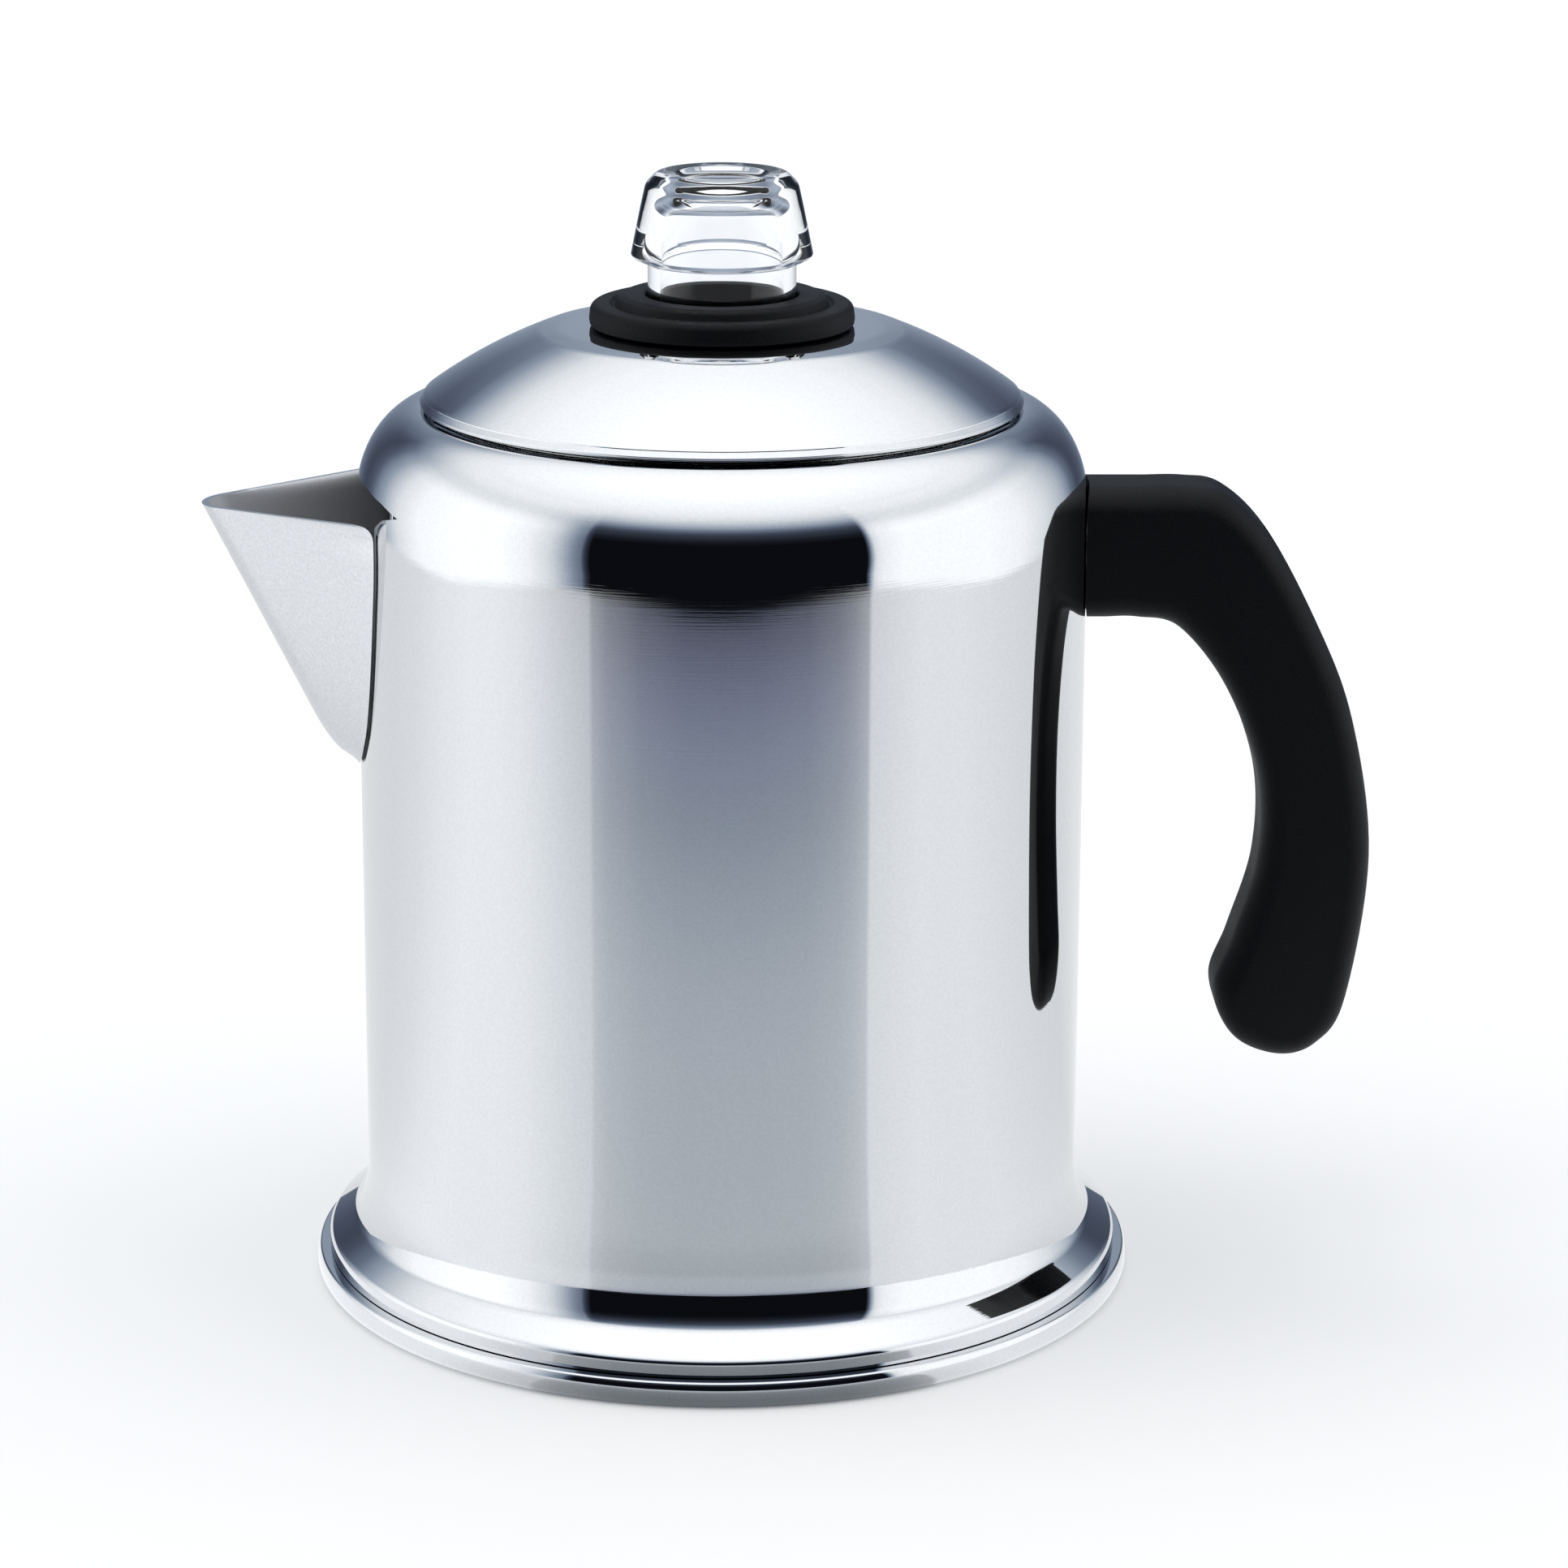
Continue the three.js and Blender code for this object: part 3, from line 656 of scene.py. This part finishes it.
def closed_inset(line, distance):
    """A closed clockwise outline moved inwards by a distance."""
    count = len(line)
    points = [Vector(p) for p in line]
    moved = []
    for i, point in enumerate(points):
        into = (point - points[i - 1]).normalized()
        out = (points[(i + 1) % count] - point).normalized()
        middle = into + out
        right = Vector((middle.y, -middle.x)).normalized()
        moved.append(tuple(point + right * distance * 2 / middle.length))
    return moved


def handle():
    """Moulded grip: the outline swept across its width with elliptical edges."""
    outline = handle_outline()
    steps = 10
    flat = HANDLE_WIDTH / 2 - HANDLE_CROWN
    levels = []
    for i in range(steps + 1):
        angle = math.pi / 2 * i / steps
        levels.append((flat + HANDLE_CROWN * math.sin(angle), HANDLE_EDGE * (1 - math.cos(angle))))
    levels = [(-y, inset) for y, inset in levels[::-1]] + [(0.0, 0.0)] + levels
    count = len(outline)
    verts = []
    for y, inset in levels:
        verts += [(x, y, z) for x, z in closed_inset(outline, inset)]
    faces = [list(range(count)), list(range((len(levels) - 1) * count, len(levels) * count))]
    for level in range(len(levels) - 1):
        for i in range(count):
            k = (i + 1) % count
            low = level * count
            faces.append([low + i, low + k, low + count + k, low + count + i])
    piece = new_object("handle", verts, faces)
    carve(piece, cylinder(BODY_RADIUS + 0.3, 400, (0, 0, 100), sides=256))
    carve(piece, cylinder(BOSS_POCKET, 12, (BODY_RADIUS + 1.4, 0, SCREW_HEIGHT), "X", 32))
    carve(piece, cylinder(SCREW_HOLE, 40, (BODY_RADIUS + 10, 0, SCREW_HEIGHT), "X", 32))
    carve(piece, cylinder(COUNTERBORE, 40, (SCREW_SEAT + 20, 0, SCREW_HEIGHT), "X", 64))
    return place(piece, "handle", "black_plastic", BLACK)


def along_x(piece):
    """Turns a piece that was made about Z to lie along +X at the screw's height."""
    piece.data.transform(Matrix.Rotation(math.pi / 2, 4, "Y"))
    piece.data.transform(Matrix.Translation((0, 0, SCREW_HEIGHT * MM)))
    return piece


def handle_fixings():
    """Boss on the wall, and the washer and slotted screw at the bottom of the handle's counterbore."""
    hole = SCREW_HOLE
    boss = rounded([(hole, 73.0, 0), (5.8, 73.0, 0), (5.8, 79.6, 0.5), (hole, 79.6, 0.4)])
    place(along_x(lathe("boss", boss, 48)), "handle_boss", "inner_steel", INNER_STEEL)
    washer = rounded([(hole, 101.3, 0.1), (3.8, 101.3, 0.1), (3.8, 102.3, 0.2), (hole, 102.3, 0.1)])
    place(along_x(lathe("washer", washer, 48)), "handle_washer", "inner_steel", INNER_STEEL)
    head = SCREW_HEAD
    screw = rounded(
        [
            (0, 74.5, 0),
            (1.4, 74.5, 0.2),
            (2.0, 75.6, 0.3),
            (2.0, head, 0.1),
            (3.8, head, 0.2),
            (3.8, head + 1.6, 0.8),
            (2.2, head + 2.4, 1.0),
            (0, head + 2.4, 0),
        ]
    )
    piece = along_x(lathe("screw", screw, 48))
    carve(piece, prism([(-0.5, 140), (0.5, 140), (0.5, 160), (-0.5, 160)], head + 1.2, head + 4))
    place(piece, "handle_screw", "inner_steel", INNER_STEEL)


# ---- Turned pieces ----


def base_plate():
    """Pressed floor of the pot with a rolled rim that stands out under the flare."""
    side = trace((BASE_RADIUS - BASE_ROLL_REACH, BASE_HEIGHT), 0, BASE_ROLL, 5)
    corners = [
        (76, 0, 0.3),
        (76, SHEET, 0.3),
        (BASE_RADIUS - SHEET, SHEET, 1.4),
        (BASE_RADIUS - SHEET, BASE_HEIGHT - SHEET, 0.2),
        (0, BASE_HEIGHT - SHEET, 0),
    ]
    piece = lathe("base", [(0, BASE_HEIGHT)] + side + rounded(corners, 9))
    place(piece, "base_plate", "polished_steel", POLISHED)


def turned(node, slot, finish, corners, turn=SMALL_TURN, step=15.0, cutter=None):
    """A turned piece that stands for a node, with openings cut by one tool."""
    piece = lathe(node, rounded(corners, step), turn)
    if cutter is not None:
        carve(piece, cutter, solver="MANIFOLD")
    return place(piece, node, slot, finish)


def hole_rings(first, last, pitch, radius, bottom, top, sides=10):
    """Rings of upright holes at an even pitch."""
    tools = []
    distance = first
    while distance <= last:
        count = int(2 * math.pi * distance / pitch)
        for k in range(count):
            angle = 2 * math.pi * k / count
            centre = (distance * math.cos(angle), distance * math.sin(angle), (bottom + top) / 2)
            tools.append(cylinder(radius, top - bottom, centre, sides=sides))
        distance += pitch
    return tools


def base_underside():
    """Aluminium heat disc under the floor, and the ribbed cap that covers it."""
    turned("heat_disc", "aluminium", ALUMINIUM, [(0, 1.3, 0), (71, 1.3, 0.3), (71, 4.0, 0.3), (0, 4.0, 0)])
    corners = [(0, 0, 0), (20, 0, 0.3), (21, 0.35, 0.3), (23, 0.35, 0.3), (24, 0, 0.3), (58, 0, 0.3)]
    corners += [(59, 0.35, 0.3), (61, 0.35, 0.3), (62, 0, 0.3), (74, 0, 0.5), (74, 1, 0.1), (0, 1, 0)]
    turned("base_cap", "satin_steel", WALL_STEEL, corners, TURN)


def pump():
    """Stem and its bell foot, the valve inside the bell, and the stop that carries the basket."""
    stem = [
        (STEM_BORE, STEM_BOTTOM, 0.1),
        (STEM_RADIUS, STEM_BOTTOM, 0.2),
        (STEM_RADIUS, STEM_TOP, 0.3),
        (STEM_BORE, STEM_TOP, 0.3),
    ]
    turned("pump_tube", "inner_steel", INNER_STEEL, stem, 64)
    bell = [
        (30, 5.6, 0.2),
        (30, 7.6, 1.2),
        (9.4, 17, 4),
        (6.1, 19.4, 1.5),
        (6.1, 27, 0.4),
        (5.1, 27, 0.3),
        (5.1, 18.4, 0),
        (4.0, 18.4, 0),
        (4.0, 17.6, 0.2),
        (8.6, 16, 3),
        (29, 7.2, 0.6),
        (29, 5.6, 0.2),
    ]
    notches = []
    for k in range(4):
        angle = math.pi / 4 + math.pi / 2 * k
        tool = cylinder(3.0, 12, (30, 0, 5.0), "X", 32)
        tool.data.transform(Matrix.Rotation(angle, 4, "Z"))
        notches.append(tool)
    turned("pump_foot", "inner_steel", INNER_STEEL, bell, TURN // 2, 9, joined(notches))
    seat = [(3.5, 9, 0.2), (22.6, 9, 0.2), (20.4, 10, 0.2), (3.5, 10, 0.3)]
    turned("valve_seat", "inner_steel", INNER_STEEL, seat)
    disc = [(0, 10.3, 0), (9, 10.3, 0.25), (9, 11.3, 0.4), (0, 11.3, 0)]
    turned("valve_disc", "inner_steel", INNER_STEEL, disc)
    stop = [(5.1, 92, 0.2), (6.7, 92, 0.4), (8.1, 94, 0.5), (8.1, 95, 0.3), (5.1, 95, 0.2)]
    turned("basket_stop", "inner_steel", INNER_STEEL, stop)


def basket():
    """Perforated cup on a guide sleeve that slides on the stem."""
    sleeve = [
        (SLEEVE_BORE, 95.3, 0.2),
        (10.3, 95.3, 0.3),
        (10.3, 96.3, 0.3),
        (6.3, 96.3, 0.4),
        (6.3, 128, 0.3),
        (SLEEVE_BORE, 128, 0.3),
    ]
    turned("basket_sleeve", "inner_steel", INNER_STEEL, sleeve)
    cup = [
        (6.6, 96.6, 0.1),
        (48.8, 96.6, 4),
        (48.8, 150.2, 0.5),
        (50.6, 150.2, 0.3),
        (50.6, 151, 0.35),
        (48, 151, 0.8),
        (48, 97.4, 3.2),
        (6.6, 97.4, 0.1),
    ]
    holes = hole_rings(12.0, 43.0, 3.4, FINE_HOLE, 95.6, 98.6)
    for row, height in enumerate(BASKET_ROWS):
        for k in range(HOLES_IN_ROW):
            angle = 2 * math.pi * (k + 0.5 * row) / HOLES_IN_ROW
            tool = cylinder(FINE_HOLE, 6, (48.4, 0, height), "X", 10)
            tool.data.transform(Matrix.Rotation(angle, 4, "Z"))
            holes.append(tool)
    turned("basket_cup", "inner_steel", INNER_STEEL, cup, TURN // 2, 12, joined(holes))


def spreader():
    """Perforated tray that lies in the basket's mouth, and its guide hub."""
    plate = [
        (6.6, 149.4, 0.1),
        (43.4, 146.6, 2),
        (47.4, 147.4, 0.8),
        (47.4, 151.3, 0.3),
        (50.6, 151.3, 0.3),
        (50.6, 152.1, 0.35),
        (46.6, 152.1, 0.9),
        (46.6, 148, 0.8),
        (43.4, 147.4, 2),
        (6.6, 150.2, 0.1),
    ]
    holes = joined(hole_rings(12.0, 41.0, 3.6, SPREADER_HOLE, 144.0, 151.5))
    turned("spreader_plate", "inner_steel", INNER_STEEL, plate, TURN // 2, 12, holes)
    hub = [
        (SLEEVE_BORE, 144, 0.2),
        (6.3, 144, 0.3),
        (6.3, 150.5, 0.2),
        (9.3, 150.5, 0.2),
        (9.3, 151.5, 0.4),
        (6.3, 151.5, 0.5),
        (6.3, 158, 0.3),
        (SLEEVE_BORE, 158, 0.3),
    ]
    turned("spreader_hub", "inner_steel", INNER_STEEL, hub)


# ---- Lid and knob ----


def lid_line(inset):
    """Outside of the lid's sheet from its hole to the rim, moved in by inset."""
    sphere = LID_SPHERE - inset
    first = LID_SPHERE_START
    end = LID_RADIUS - LID_BEVEL
    steps = 24
    dome = []
    for i in range(steps + 1):
        radius = first + (end - first) * i / steps
        tilt = math.asin(radius / LID_SPHERE)
        dome.append((sphere * math.sin(tilt), LID_SPHERE_CENTRE + sphere * math.cos(tilt)))
    start = math.sqrt(LID_SPHERE**2 - first**2) + LID_SPHERE_CENTRE
    seat = [
        (LID_HOLE, LID_SEAT),
        (26.2, LID_SEAT),
        (29.5, LID_SEAT - 0.02),
        (32.5, LID_SEAT - 0.13),
        (first, start),
    ]
    crown = [(x, z - inset) for x, z in spline(seat, 5)[:-1]]
    edge = dome[-1][1] + inset
    groove = [(end - 0.02, edge - 0.2), (end + 0.1, edge - 0.24)]
    outer = LID_RADIUS - inset
    drop = inset * 0.5
    bevel = [(outer - 0.12, LID_EDGE + 0.75 - drop), (outer, LID_EDGE + 0.6 - drop)]
    if inset:
        return crown + dome + bevel[1:] + [(outer, LID_EDGE)]
    return crown + dome + groove + bevel + [(outer, LID_EDGE)]


def lid():
    """Domed sheet, the skirt under it that grips the mouth, and the black collar on its seat."""
    piece = lathe("lid", lid_line(0) + lid_line(LID_SHEET)[::-1])
    soften(piece, 0.12, 60)
    place(piece, "lid_dome", "polished_steel", POLISHED)
    skirt = [
        (53.2, 168.5, 0.2),
        (54.0, 168.5, 0.3),
        (54.0, 180.2, 0.3),
        (55.7, 180.2, 0.2),
        (55.7, 181, 0.3),
        (53.2, 181, 0.8),
    ]
    turned("lid_skirt", "inner_steel", INNER_STEEL, skirt, TURN)
    collar = [
        (15.1, 192.3, 0.3),
        (17.7, 192.3, 0.4),
        (17.7, 195.1, 0.2),
        (25.4, 195.1, 0.3),
        (26.0, 195.4, 0.3),
        (26.15, 196.5, 1.0),
        (25.8, 199.4, 1.5),
        (22.2, 199.5, 0.8),
        (21.2, 198.7, 0.35),
        (20.6, 200.6, 0.7),
        (19.2, 201.2, 0.8),
        (15.1, 201.2, 0.5),
    ]
    turned("lid_collar", "black_plastic", BLACK, collar, TURN, 10)


def sector(radius, bottom, top, spread, first):
    """Upright wedge of a disc for notches and lugs."""
    steps = 12
    outline = [(0.0, 0.0)]
    for i in range(steps + 1):
        angle = math.radians(first - spread / 2 + spread * i / steps)
        outline.append((radius * math.cos(angle), radius * math.sin(angle)))
    count = len(outline)
    verts = [(x, y, bottom) for x, y in outline] + [(x, y, top) for x, y in outline]
    faces = [list(range(count)), list(range(count, 2 * count))]
    for i in range(count):
        k = (i + 1) % count
        faces.append([i, k, count + k, count + i])
    return new_object("tool", verts, faces)


def lock_ring():
    """Ring under the lid with three notches that the knob's lugs pass through."""
    notches = [sector(18.4, 190, 193, 44, 60 + 120 * k) for k in range(3)]
    plate = [(15.1, 191.2, 0.1), (24, 191.2, 0.2), (24, 192, 0.3), (15.1, 192, 0.1)]
    piece = lathe("lock", rounded(plate), TURN)
    for notch in notches:
        carve(piece, notch)
    place(piece, "lock_ring", "inner_steel", INNER_STEEL)


def knob():
    """Hollow clear knob: a flared head with a dished top, and three lugs at its foot."""
    section = [
        (0, 223.7, 0),
        (7.6, 223.8, 2.5),
        (9.2, 224.9, 0.8),
        (12.6, 225.3, 2.5),
        (15.0, 222.8, 2.6),
        (16.0, 218.3, 6),
        (17.9, 209.0, 0.5),
        (17.1, 208.3, 0.5),
        (14.6, 207.5, 0.4),
        (14.6, 186.6, 0.4),
        (12.2, 186.6, 0.3),
        (12.1, 207.0, 4),
        (11.2, 212.0, 4),
        (10.4, 218.0, 3),
        (7.6, 220.0, 3),
        (0, 220.1, 0),
    ]
    piece = lathe("knob", rounded(section, 7.5), 160)
    lugs = joined([sector(17.6, 188.3, 190.8, 36, 120 * k) for k in range(3)])
    carve(lugs, cylinder(13.2, 10, (0, 0, 189.6), sides=160))
    carve(piece, lugs, "UNION")
    place(piece, "knob", "clear_plastic", CLEAR)


# ---- Studio ----

# How bright each light looks from the pot, by azimuth (0 towards the camera, 90 towards the handle)
SIDE_BOXES = [
    (-180, 0.50),
    (-163, 0.30),
    (-150, 0.17),
    (-142, 0.26),
    (-132, 0.52),
    (-120, 1.03),
    (-108, 1.31),
    (-92, 1.42),
    (-72, 1.42),
    (-62, 1.25),
    (-54, 0.95),
    (-46, 0.42),
    (-42.6, 0.30),
    (-42.0, 0.0),
    (46.0, 0.0),
    (46.8, 0.90),
    (50, 1.20),
    (58, 1.36),
    (90, 1.36),
    (106, 1.24),
    (120, 0.97),
    (132, 0.66),
    (142, 0.32),
    (150, 0.18),
    (163, 0.28),
    (180, 0.50),
]
# Share of the side boxes, and light of the overhead box, by elevation
SIDE_REACH = [(20, 1.0), (25, 0.84), (30, 0.52), (35, 0.27), (40, 0.14), (48, 0.0)]
OVERHEAD = [
    (16, 0.0),
    (20, 0.03),
    (25, 0.125),
    (30, 0.36),
    (35, 0.68),
    (40, 0.97),
    (45, 1.15),
    (52, 1.28),
    (70, 1.45),
]
BRIGHTEST = 1.5
# Dim light is bluer and falls off faster: the light before that, and the colour it becomes
FALLOFF = [
    (0.0, (0.0030, 0.0033, 0.0047)),
    (0.10, (0.036, 0.044, 0.063)),
    (0.153, (0.056, 0.068, 0.100)),
    (0.213, (0.105, 0.131, 0.178)),
    (0.333, (0.240, 0.280, 0.342)),
    (0.49, (0.430, 0.464, 0.508)),
    (0.667, (0.650, 0.667, 0.684)),
    (1.0, (1.0, 1.0, 1.0)),
]

# Floor, in metres
FLOOR_RADIUS = 8.0

# Table top as the steel sees it, a glowing sheet with a painted reflection of the lit floor: its size and how
# square its outline is, its colour by distance in front of the pot with painted shade and a painted contact
# shadow, and its painted brightness round the sides
TABLE_RADIUS = 0.716
TABLE_POWER = 2.3
TABLE_TINT = (0.97, 0.985, 1.0)
GAP_WIDENING = 0.6
# Painted shade of the unlit gap on the table in front of the pot, with a painted contact shadow close to the
# pot
TABLE_FRONT_PAINTED_SHADE = [
    (0.085, (0.185, 0.200, 0.215)),
    (0.10, (0.260, 0.280, 0.300)),
    (0.12, (0.420, 0.450, 0.480)),
    (0.15, (0.540, 0.580, 0.615)),
    (0.26, (0.515, 0.555, 0.605)),
    (0.32, (0.480, 0.520, 0.575)),
    (0.39, (0.400, 0.445, 0.505)),
    (0.455, (0.325, 0.365, 0.430)),
    (0.52, (0.280, 0.315, 0.400)),
    (0.595, (0.220, 0.240, 0.325)),
    (0.66, (0.145, 0.158, 0.220)),
    (0.69, (0.110, 0.120, 0.165)),
    (0.702, (0.010, 0.012, 0.016)),
]
# Painted light from the side boxes on the table round its sides
TABLE_SIDES_PAINTED_LIGHT = [
    (-180, 0.84),
    (-136, 0.90),
    (-118, 0.92),
    (-104, 0.99),
    (-92, 1.10),
    (-80, 1.17),
    (-64, 1.15),
    (64, 1.06),
    (76, 1.06),
    (92, 0.99),
    (108, 0.92),
    (120, 0.87),
    (140, 0.94),
    (180, 0.84),
]
# Share of the painted shade in the front part of the table by azimuth; the gap looks wider from close to the
# pot
TABLE_GAP_PAINTED_SHADE = [
    (-75, 0.0),
    (-67, 0.05),
    (-59, 0.17),
    (-50, 0.33),
    (-42.2, 0.46),
    (-41.2, 0.66),
    (-36, 0.82),
    (-25, 0.95),
    (-12, 1.0),
    (12, 1.0),
    (27, 0.97),
    (37, 0.88),
    (42, 0.78),
    (46.4, 0.62),
    (47.4, 0.22),
    (57, 0.10),
    (66, 0.0),
]


def turns(stops, scale=1.0):
    """Stops by azimuth in degrees as stops from 0 to 1 once round, starting and ending behind."""
    return [(degrees / 360 + 0.5, value / scale) for degrees, value in stops]


def heights(stops, scale=1.0):
    """Stops by elevation in degrees as stops from 0 (straight down) to 1 (straight up)."""
    return [(degrees / 180 + 0.5, value / scale) for degrees, value in stops]


def azimuth(nodes, x, y):
    """0 to 1 once round the Z axis; 0.5 is towards -Y and rising goes to +X."""
    angle = nodes.maths("ARCTAN2", x, nodes.maths("MULTIPLY", y, -1))
    return nodes.maths("ADD", nodes.maths("DIVIDE", angle, 2 * math.pi), 0.5)


def light_tent():
    """World: two big side boxes, a soft light overhead, an unlit gap before the pot and dim ones behind."""
    world = bpy.data.worlds.new("light_tent")
    bpy.context.scene.world = world
    world.use_nodes = True
    nodes = Nodes(world.node_tree)
    axes = nodes.add("ShaderNodeSeparateXYZ")
    nodes.link(nodes.add("ShaderNodeTexCoord").outputs["Generated"], axes.inputs[0])
    x, y, z = axes.outputs
    height = nodes.maths("ADD", nodes.maths("DIVIDE", nodes.maths("ARCSINE", z), math.pi), 0.5)
    overhead = nodes.ramp(height, heights(OVERHEAD, BRIGHTEST))
    sides = nodes.ramp(azimuth(nodes, x, y), turns(SIDE_BOXES, BRIGHTEST))
    reach = nodes.ramp(height, heights(SIDE_REACH))
    lit = nodes.mix(1.0, sides, reach, "MULTIPLY")
    total = nodes.ramp(nodes.mix(1.0, lit, overhead, "ADD"), FALLOFF)
    background = nodes.add("ShaderNodeBackground")
    nodes.link(total, background.inputs["Color"])
    background.inputs["Strength"].default_value = BRIGHTEST
    output = nodes.add("ShaderNodeOutputWorld")
    nodes.link(background.outputs[0], output.inputs["Surface"])


def disc(name, radius, height, sides=128, power=2.0):
    """Flat round sheet; a power over 2 makes its outline squarer."""
    verts = []
    for k in range(sides):
        x = math.cos(2 * math.pi * k / sides)
        y = math.sin(2 * math.pi * k / sides)
        reach = radius / (abs(x) ** power + abs(y) ** power) ** (1 / power)
        verts.append((reach * x, reach * y, height))
    mesh = bpy.data.meshes.new(name)
    mesh.from_pydata(verts, [], [list(range(sides))])
    thing = bpy.data.objects.new(name, mesh)
    bpy.context.scene.collection.objects.link(thing)
    return thing


def painted_table_reflection():
    """Round table top that only the polished steel sees, glowing with a painted reflection of the lit floor:
    painted shade in front, a painted contact shadow next to the pot and painted light from both sides.
    """
    top = disc("painted_table_reflection", TABLE_RADIUS, -0.0004, power=TABLE_POWER)
    made = bpy.data.materials.new("painted_table_reflection")
    made.use_nodes = True
    nodes = Nodes(made.node_tree)
    axes = nodes.add("ShaderNodeSeparateXYZ")
    nodes.link(nodes.add("ShaderNodeTexCoord").outputs["Object"], axes.inputs[0])
    x, y = axes.outputs[0], axes.outputs[1]
    around = azimuth(nodes, x, y)
    powers = [nodes.maths("POWER", nodes.maths("ABSOLUTE", axis), TABLE_POWER) for axis in (x, y)]
    distance = nodes.maths("POWER", nodes.maths("ADD", *powers), 1 / TABLE_POWER)
    # Painted shade in front and painted light round the sides, blended by the share of the gap; the sheet
    # glows but lights nothing
    front = nodes.ramp(distance, TABLE_FRONT_PAINTED_SHADE)
    sides = nodes.ramp(around, turns(TABLE_SIDES_PAINTED_LIGHT, BRIGHTEST))
    tint = nodes.mix(1.0, sides, (*(part * BRIGHTEST for part in TABLE_TINT), 1), "MULTIPLY")
    widening = nodes.maths("ADD", 1.0, nodes.maths("DIVIDE", GAP_WIDENING * BODY_RADIUS * MM, distance))
    offset = nodes.maths("MULTIPLY", nodes.maths("SUBTRACT", around, 0.5), widening)
    share = nodes.ramp(nodes.maths("ADD", offset, 0.5), turns(TABLE_GAP_PAINTED_SHADE))
    shade = nodes.mix(share, tint, front)
    emission = nodes.add("ShaderNodeEmission")
    nodes.link(shade, emission.inputs["Color"])
    output = nodes.add("ShaderNodeOutputMaterial")
    nodes.link(emission.outputs[0], output.inputs["Surface"])
    top.data.materials.append(made)
    top.visible_camera = False
    top.visible_diffuse = False
    top.visible_transmission = False
    top.visible_shadow = False


def floor():
    """Wide pale floor; polished steel sees the painted table reflection instead."""
    ground = disc("floor", FLOOR_RADIUS, 0.0)
    made, nodes, sockets, position = material("pale_floor")
    clouds = nodes.noise(position, 3.0, 2.0)
    nodes.link(nodes.ramp(clouds, [(0.3, 0.975), (0.7, 0.985)]), sockets["Base Color"])
    sockets["Roughness"].default_value = 0.9
    sockets["Specular IOR Level"].default_value = 0.1
    ground.data.materials.append(made)
    ground.visible_glossy = False


def backdrop():
    """Plain pale surroundings past the floor's edge; only the camera sees them."""
    radius = (FLOOR_RADIUS - 0.05) / MM
    shell = lathe("backdrop", arc(0, 0, radius, -90, 90, 32), 64)
    made = bpy.data.materials.new("pale_backdrop")
    made.use_nodes = True
    nodes = Nodes(made.node_tree)
    emission = nodes.add("ShaderNodeEmission")
    emission.inputs["Color"].default_value = (1.0, 1.0, 1.0, 1.0)
    output = nodes.add("ShaderNodeOutputMaterial")
    nodes.link(emission.outputs[0], output.inputs["Surface"])
    shell.data.materials.append(made)
    shell.visible_diffuse = False
    shell.visible_glossy = False
    shell.visible_transmission = False
    shell.visible_volume_scatter = False
    shell.visible_shadow = False


# Camera: place in metres, and how far it looks aside, looks down and leans, in radians
EYE = (0.0, -0.962, 0.3710)
LOOK_ASIDE = -0.0130
LOOK_DOWN = 0.2736
LEAN = 0.0035
LENS = 113.63


def camera():
    """A long lens in front of the pot and a little above it."""
    data = bpy.data.cameras.new("camera")
    data.lens = LENS
    data.sensor_width = 36.0
    data.clip_start = 0.01
    data.clip_end = 50.0
    eye = bpy.data.objects.new("camera", data)
    eye.location = EYE
    yaw = Matrix.Rotation(LOOK_ASIDE, 4, "Z")
    pitch = Matrix.Rotation(math.pi / 2 - LOOK_DOWN, 4, "X")
    roll = Matrix.Rotation(LEAN, 4, "Z")
    eye.rotation_euler = (yaw @ pitch @ roll).to_euler()
    bpy.context.scene.collection.objects.link(eye)
    bpy.context.scene.camera = eye


# ---- Build ----

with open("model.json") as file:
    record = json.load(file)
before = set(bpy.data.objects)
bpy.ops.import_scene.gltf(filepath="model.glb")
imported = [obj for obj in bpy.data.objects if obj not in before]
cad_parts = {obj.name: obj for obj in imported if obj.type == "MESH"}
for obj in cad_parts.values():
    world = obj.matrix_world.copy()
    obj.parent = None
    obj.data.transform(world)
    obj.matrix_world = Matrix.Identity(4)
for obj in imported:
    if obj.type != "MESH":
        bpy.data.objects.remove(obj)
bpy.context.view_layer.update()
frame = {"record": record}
BODY_OF = {node: body for body, nodes in frame["record"]["behaviour"]["bodies"].items() for node in nodes}

WALL_STEEL = steel("wall_steel", (0.70, 0.715, 0.735), 0.012, lines=0.08, smudge=0.006)
SPOUT_STEEL = steel("spout_steel", (0.66, 0.675, 0.70), 0.16, lines=0.3, speckle=0.06)
POLISHED = steel("polished_steel", (0.70, 0.715, 0.735), 0.012, lines=0.05, smudge=0.006)
SPOUT_INSIDE = steel("spout_inside", (0.60, 0.61, 0.64), 0.5, lines=0.6, metallic=0.6)
INNER_STEEL = steel("inner_steel", (0.62, 0.625, 0.64), 0.2, lines=0.8, line_scale=500.0)
ALUMINIUM = steel("aluminium", (0.72, 0.72, 0.73), 0.38, lines=0.6)
BLACK = black_plastic("black_plastic")
CLEAR = clear_plastic("clear_plastic")

camera()
light_tent()
painted_table_reflection()
floor()
backdrop()
bpy.context.scene.view_settings.view_transform = "Standard"

pot_shell()
spout()
handle()
handle_fixings()
base_plate()
base_underside()
pump()
basket()
spreader()
lid()
lock_ring()
knob()
